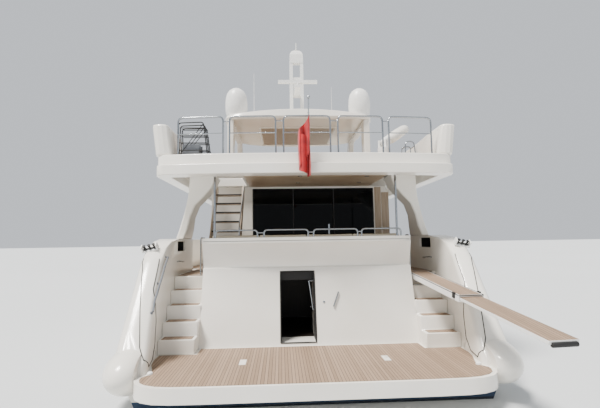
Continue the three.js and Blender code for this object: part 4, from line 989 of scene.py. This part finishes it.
# Hatch, chain lockers, chain, raft canisters
def trimForedeck():
    (y0, y1), z = foredeck["hatch"], deckZ(0.0, 10.7)
    buildPiece("deck_hatch", "glass", blocks((-0.27, 0.27, y0, y1, z + 0.02, z + 0.05)), bevel=0.01)
    buildPiece("deck_hatch_rim", "paint", blocks((-0.31, 0.31, y0 - 0.04, y1 + 0.04, z - 0.03, z + 0.035)),
               bevel=0.012)
    z = deckZ(0.9, 10.7)
    lockers = blocks(*[(x - 0.35, x + 0.35, *foredeck["lockers"], z - 0.03, z + 0.02) for x in (0.9, -0.9)])
    buildPiece("chain_lockers", "gelcoat", lockers, bevel=0.015)
    chain = []
    for k in range(foredeck["links"]):
        y = foredeck["chainY"] + foredeck["linkStep"] * k
        top = deckZ(0.0, y) + 0.035
        flat = k % 2 == 0
        loop = [(u, y + v, top) if flat else (0, y + v, top + u) for u, v in circle(0.016, 0.034, 12)]
        chain.append(tubeForm(loop, 0.0065, 6, closed=True))
    buildMetal("anchor_chain", chain, smooth=60)
    cans, cradles = [], []
    for side in (1, -1):
        x, y = side * foredeck["raftX"], foredeck["raftY"]
        cans.append(latheForm(foredeck["raft"], (x, y, deckZ(x, y) + 0.3), (0, 1, 0), 32))
        for y in foredeck["cradlesY"]:
            z = deckZ(x, y)
            hoop = [(x - 0.2, y, z), (x - 0.2, y, z + 0.1), (x + 0.2, y, z + 0.1), (x + 0.2, y, z)]
            cradles.append(bentTube(hoop, 0.05, 0.016, 8))
    buildPiece("raft_canisters", "paint", cans, smooth=40)
    buildMetal("raft_cradles", cradles)


# Wipers and bars of the windscreen, side lamps
def trimHouseFront():
    wipers, beside = [], Vector((0.03, 0, 0))
    for x in foredeck["wipersX"]:
        foot = hug("deckhouse_front", [(x, 5.6, 3.26)], 0.01)[0]
        head = hug("windscreen", [(x + 0.25, 4.4, 3.95)], 0.02)[0]
        wipers.append(tubeForm([foot, head], 0.009, 8))
        wipers.append(tubeForm([foot.lerp(head, 0.35) + beside, head + beside], 0.007, 6))
    buildPiece("wipers", "rubber", wipers, smooth=50)
    lines = [hug("windscreen", [(x, 5.7, 3.32), (0.93 * x, 4.2, 4.12)], 0.002) for x in foredeck["barsX"]]
    buildPiece("windscreen_bars", "rubber", [tubeForm(line, 0.022, 8) for line in lines], smooth=50)
    rows = [(0, 0), (0.05, 0), (0.05, 0.05), (0.03, 0.07), (0, 0.07)]
    lights = [latheForm(rows, hug("fly_bulwark", [(side * 2.95, 1.3, 5.0)])[0], (side, 0.2, 0), 20)
              for side in (1, -1)]
    buildPiece("side_lamps", "lens", lights, smooth=50)


trimForedeck()
trimHouseFront()
print("foredeck trimmed")

# Gangway: root of its sections, turn and tilt in degrees
gangway = {"root": (2.59, -10.85, 1.94), "turn": 5, "tilt": 6.9}
gangwayTurn = (Matrix.Translation(gangway["root"]) @ Matrix.Rotation(math.radians(gangway["turn"]), 4, "Z")
               @ Matrix.Rotation(math.radians(gangway["tilt"]), 4, "X"))


def trimSection(name, finish, forms, body="gangway_inner", bevel=0.0):
    buildPiece(name, finish, moved(forms, gangwayTurn), body, bevel)


# Planked top, edge bead, end brackets, underframe, roller at the end
def trimGangway():
    tread = bpy.data.objects["gangway_outer_finished"].data
    tread.materials.append(finishes["teak"][0])
    up = gangwayTurn.to_3x3() @ Vector((0, 0, 1))
    for face in tread.polygons:
        face.material_index = 1 if face.normal.dot(up) > 0.95 and face.area > 0.05 else 0
    trimSection("gangway_teak", "teak", blocks((-0.2, 0.2, -2.06, 0.05, 0.0595, 0.066)), bevel=0.002)
    bead = [tubeForm([(x, -2.09, 0.058), (x, 0.07, 0.058)], 0.009, 8) for x in (0.236, -0.236)]
    bead.append(tubeForm([(-0.236, -2.096, 0.056), (0.236, -2.096, 0.056)], 0.01, 8))
    trimSection("gangway_bead", "rubber", bead)
    brackets = blocks(*[(x - 0.016, x + 0.016, -1.98, -1.9, -0.02, 0.085) for x in (0.245, -0.245)])
    trimSection("gangway_stanchions", "rubber", brackets, bevel=0.003)
    under = blocks((-0.1, 0.1, -2.08, -1.96, -0.1, -0.06), (-0.2, -0.14, -1.9, -0.3, -0.075, -0.06),
                   (0.14, 0.2, -1.9, -0.3, -0.075, -0.06))
    trimSection("gangway_underframe", "stainless", under, bevel=0.004)
    roller = latheForm([(0, 0), (0.03, 0), (0.034, 0.01), (0.034, 0.35), (0.03, 0.36), (0, 0.36)],
                       (-0.18, -4.2, -0.03), (1, 0, 0), 24)
    trimSection("gangway_roller", "rubber", [roller], "gangway_outer")


trimGangway()
print("gangway trimmed")

# Soft goods: one pad is swollen by a cloth simulation, and each cushion is that pad at its own size
pad = {"size": (1.0, 0.6, 0.13), "shrink": 0.97, "round": 0.016, "voxel": 0.018, "quality": 6,
       "pressure": 4.0, "frames": 20, "cap": 0.02, "pressed": 0.14, "fill": 0.7, "gap": 0.004,
       "piping": 0.007, "pipingInset": 0.03, "pipingLevels": (0.12, 0.88), "pipingSteps": 72}


def padStart():
    work = bmesh.new()
    bmesh.ops.create_cube(work, size=pad["shrink"])
    bmesh.ops.scale(work, vec=pad["size"], verts=work.verts)
    bmesh.ops.bevel(work, geom=work.edges, offset=pad["round"], segments=3, affect="EDGES", profile=0.5)
    mesh = bpy.data.meshes.new("pad_start")
    work.to_mesh(mesh)
    work.free()
    return mesh


def evaluatedMesh(piece):
    return bpy.data.meshes.new_from_object(piece.evaluated_get(bpy.context.evaluated_depsgraph_get()))


def swollenPad():
    mesh = padStart()
    scene = bpy.context.scene
    piece = bpy.data.objects.new("pad_start", mesh)
    scene.collection.objects.link(piece)
    voxels = piece.modifiers.new("voxels", "REMESH")
    voxels.mode = "VOXEL"
    # 18 mm is coarse for a pad, but fine for cushions on a hull of 27 m
    voxels.voxel_size = pad["voxel"]
    start = evaluatedMesh(piece)
    piece.modifiers.clear()
    piece.data = start
    cloth = piece.modifiers.new("stuffing", "CLOTH")
    cloth.settings.quality = pad["quality"]
    cloth.settings.use_pressure = True
    cloth.settings.uniform_pressure_force = pad["pressure"]
    cloth.settings.effector_weights.gravity = 0.0
    for number in range(1, pad["frames"] + 1):
        scene.frame_set(number)
    swollen = evaluatedMesh(piece)
    scene.frame_set(1)
    for old, new in zip(start.vertices, swollen.vertices):
        move = new.co - old.co
        if move.length > pad["cap"]:
            new.co = old.co + move * (pad["cap"] / move.length)
    bpy.data.objects.remove(piece)
    return swollen


def unitPad():
    # Across, along and up, each from 0 to 1, with the underside pressed flat
    mesh = swollenPad()
    points = [v.co.copy() for v in mesh.vertices]
    low = Vector([min(p[i] for p in points) for i in range(3)])
    high = Vector([max(p[i] for p in points) for i in range(3)])
    low.z += pad["pressed"] * (high.z - low.z)
    unit = [[max(0.0, (p[i] - low[i]) / (high[i] - low[i])) for i in range(3)] for p in points]
    return unit, [f.vertices[:] for f in mesh.polygons]


padPoints, padFaces = unitPad()
print("pad swollen")


def between(corners, u, v):
    a, b, c, d = (Vector(p) for p in corners)
    return a.lerp(b, u).lerp(d.lerp(c, u), v)


# A pad between four corners, thickened towards the direction given
def padForm(corners, thick):
    points = [tuple(between(corners, u, v) + Vector(thick) * t) for u, v, t in padPoints]
    return points, padFaces


def pipingForm(form, corners, thick, level):
    tree = BVHTree.FromPolygons(form[0], [tuple(f) for f in form[1]])
    inset, steps = pad["pipingInset"], pad["pipingSteps"]
    ring = []
    for k in range(steps):
        side, along = divmod(k / (steps // 4), 1)
        s = inset + (1 - 2 * inset) * along
        u, v = ((s, 0.0), (1.0, s), (1 - s, 1.0), (0.0, 1 - s))[int(side)]
        place = between(corners, u, v) + Vector(thick) * level
        hit, normal = tree.find_nearest(place)[:2]
        ring.append(hit + normal * (0.3 * pad["piping"]))
    return tubeForm(ring, pad["piping"], 6, closed=True)


def flatCorners(x0, x1, y0, y1, z):
    g = pad["gap"]
    return [(x0 + g, y0 + g, z), (x1 - g, y0 + g, z), (x1 - g, y1 - g, z), (x0 + g, y1 - g, z)]


def uprightCorners(x0, x1, y, z0, z1):
    g = pad["gap"]
    # counted so that the thickness points forward
    return [(x1 - g, y, z0), (x0 + g, y, z0), (x0 + g, y, z1), (x1 - g, y, z1)]


def makeCushions(node, rows):
    forms = [padForm(corners, thick) for corners, thick in rows]
    piece = buildPiece(node + "_pads", "vinyl", forms, smooth=60)
    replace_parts(piece, node)
    piping = [pipingForm(form, corners, thick, level)
              for form, (corners, thick) in zip(forms, rows) for level in pad["pipingLevels"]]
    buildPiece(node + "_piping", "piping", piping, smooth=70)


# Seats and backs side by side: edges in x; seat as y from and to and z; back as y and z from and to
def seatRows(edges, seat, thick, back, thickBack):
    rows = []
    for x0, x1 in zip(edges, edges[1:]):
        rows.append((flatCorners(x0, x1, *seat), (0, 0, thick)))
        rows.append((uprightCorners(x0, x1, *back), (0, thickBack, 0)))
    return rows


def makeSoftGoods():
    edges = [-2.18 + 1.09 * k for k in range(5)]
    makeCushions("cockpit_cushions", seatRows(edges, (-10.53, -10.1, 2.3303), 0.13,
                                              (-10.69, 2.335, 2.9), 0.155))
    makeCushions("fly_helm_seat", seatRows((0.42, 1.0, 1.58), (-4.74, -4.15, 5.05), 0.14,
                                           (-4.875, 5.06, 5.78), 0.13))
    shell = blocks((0.45, 1.55, -4.7, -4.2, 4.6303, 5.05), (0.43, 1.57, -4.9, -4.876, 5.03, 5.76))
    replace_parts(buildPiece("helm_seat_shell", "gelcoat", shell, bevel=0.02), "fly_helm_seat")
    rows = [(flatCorners(*x, 0.22, 2.28, 4.79), (0, 0, 0.16)) for x in ((-2.19, -1.0), (-1.0, 0.19))]
    makeCushions("fly_sunpad", rows)
    plinth = blocks((-2.2, 0.2, 0.2, 2.3, 4.6303, 4.79))
    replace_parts(buildPiece("sunpad_plinth", "gelcoat", plinth, bevel=0.02), "fly_sunpad")
    z = 3.121
    middle = [(-0.42, 7.21, z), (0.42, 7.21, z), (0.42, 9.74, z), (-0.42, 9.74, z)]
    outer = [(0.43, 7.22, z), (1.15, 7.24, z), (1.0, 9.6, z), (0.43, 9.7, z)]
    twin = pointsOn(-1, (outer[1], outer[0], outer[3], outer[2]))
    makeCushions("foredeck_sunpad", [(corners, (0, 0, 0.118)) for corners in (middle, outer, twin)])
    bench = ((0.72, 1.88, -7.98, -7.42), (1.37, 1.88, -7.4, -6.2), (0.72, 1.88, -6.18, -5.62))
    forms = [padForm(flatCorners(*row, 5.05), (0, 0, 0.09)) for row in bench]
    buildPiece("fly_sofa_pads", "vinyl", forms, smooth=60)


makeSoftGoods()
print("cushions made")

# Flag: cut 1.2 by 0.8 m, hanging limp from its staff in pleats; inY is the room that the pleats have
flag = {"fly": 1.2, "hoist": 0.8, "top": 5.478, "droop": 0.6, "pleats": 4.4, "steps": (180, 36),
        "inY": (-11.885, -11.765), "tiesZ": (5.462, 5.22), "staffX": 0.02, "lean": (0, -0.25, 0.97)}


def staffY(z):
    return -11.53 - (z - 4.61) * 0.3 / 1.14


# Out to port on the first fold, back to the staff on the second, a little to port at the tail
def flagSway(u):
    if u < 0.45:
        return -0.085 + 0.122 * math.cos(math.pi * u / 0.45)
    if u < 0.72:
        return -0.085 - 0.122 * math.cos(math.pi * (u - 0.45) / 0.27)
    return 0.003 + 0.034 * math.cos(math.pi * (u - 0.72) / 0.28)


def flagPoint(u, v, depth):
    z = flag["top"] - flag["droop"] * (1 - (1 - u) ** 2.3) - flag["hoist"] * v
    x = flagSway(u) + 0.008 * math.sin(4 * v + 7 * u)
    aft, limit = flag["inY"]
    fore = min(limit, staffY(z) - 0.018)
    middle, share = (aft + fore) / 2, (fore - aft) / (limit - aft)
    wave = math.cos(2 * math.pi * flag["pleats"] * u + 0.35 * v)
    return Vector((x, middle + share * depth * wave, z))


def flagGrid(depth, across, down):
    return [[flagPoint(i / across, j / down, depth) for j in range(down + 1)] for i in range(across + 1)]


def gridArea(grid):
    total = 0.0
    for a, b in zip(grid, grid[1:]):
        for j in range(len(a) - 1):
            total += (b[j + 1] - a[j]).cross(a[j + 1] - b[j]).length / 2
    return total


# How deep the pleats are, so that the hanging cloth has the area of its cut
def pleatDepth():
    low, high = 0.02, 0.2
    for _ in range(14):
        depth = (low + high) / 2
        if gridArea(flagGrid(depth, flag["steps"][0], 8)) < flag["fly"] * flag["hoist"]:
            low = depth
        else:
            high = depth
    return depth


def makeFlag():
    across, down = flag["steps"]
    depth = pleatDepth()
    grid = flagGrid(depth, across, down)
    print("flag pleats", round(depth, 4), "area", round(gridArea(grid), 4))
    n = down + 1
    faces = [(i * n + j, i * n + j + 1, (i + 1) * n + j + 1, (i + 1) * n + j)
             for i in range(across) for j in range(down)]
    points = [p for column in grid for p in column]
    cloth = buildPiece("flag_cloth", "bunting", [(points, faces)], smooth=180)
    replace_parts(cloth, "flag")
    x0, lean = flag["staffX"], flag["lean"]
    ties = [tubeForm([(x0 + x, staffY(z) + y, z) for x, y in circle(0.02, 0.02, 20)], 0.004, 6, closed=True)
            for z in flag["tiesZ"]]
    rings = buildMetal("flag_ties", ties, smooth=60)
    ball = latheForm([(0, 0), (0.018, 0), (0.03, 0.012), (0.034, 0.03), (0.028, 0.048), (0.012, 0.06),
                      (0, 0.062)], (x0, -11.828, 5.742), lean, 24)
    socket = latheForm([(0, -0.02), (0.05, -0.02), (0.05, 0.0), (0.026, 0.012), (0.022, 0.09), (0, 0.09)],
                       (x0, -11.535, 4.635), lean, 24)
    buildMetal("flagstaff_fittings", [ball, socket])


makeFlag()
print("flag hung")

# Floor at the waterline, and soft light from high on the port side
studio = {"dark": "#c9cccd", "pale": "#cccfd0", "cloudMm": 20000, "far": 900.0, "sky": "#e9eef5",
          "skyStrength": 0.9, "sunStrength": 8.2, "sunFrom": (-5.5, -3.4, 13), "sunAngle": 16.0,
          "sunColour": (1.0, 0.965, 0.92)}


def makeStudio():
    material, tree, shader, place = newMaterial("pale matt floor", {"Roughness": 0.9})
    cloudsOf(tree, place, shader, studio, 2.0)
    mesh = bpy.data.meshes.new("studio_floor")
    far = studio["far"]
    mesh.from_pydata([(-far, -far, 0), (far, -far, 0), (far, far, 0), (-far, far, 0)], [], [(0, 1, 2, 3)])
    mesh.materials.append(material)
    floor = bpy.data.objects.new("studio_floor", mesh)
    bpy.context.scene.collection.objects.link(floor)
    data = bpy.data.lights.new("soft_sun", "SUN")
    data.energy, data.color = studio["sunStrength"], studio["sunColour"]
    data.angle = math.radians(studio["sunAngle"])
    sun = bpy.data.objects.new("soft_sun", data)
    sun.rotation_euler = Vector(studio["sunFrom"]).to_track_quat("Z", "Y").to_euler()
    bpy.context.scene.collection.objects.link(sun)
    world = bpy.data.worlds.new("pale_sky")
    world.use_nodes = True
    back = world.node_tree.nodes["Background"]
    back.inputs["Color"].default_value = linear(studio["sky"])
    back.inputs["Strength"].default_value = studio["skyStrength"]
    bpy.context.scene.world = world


makeStudio()
print("studio lit")
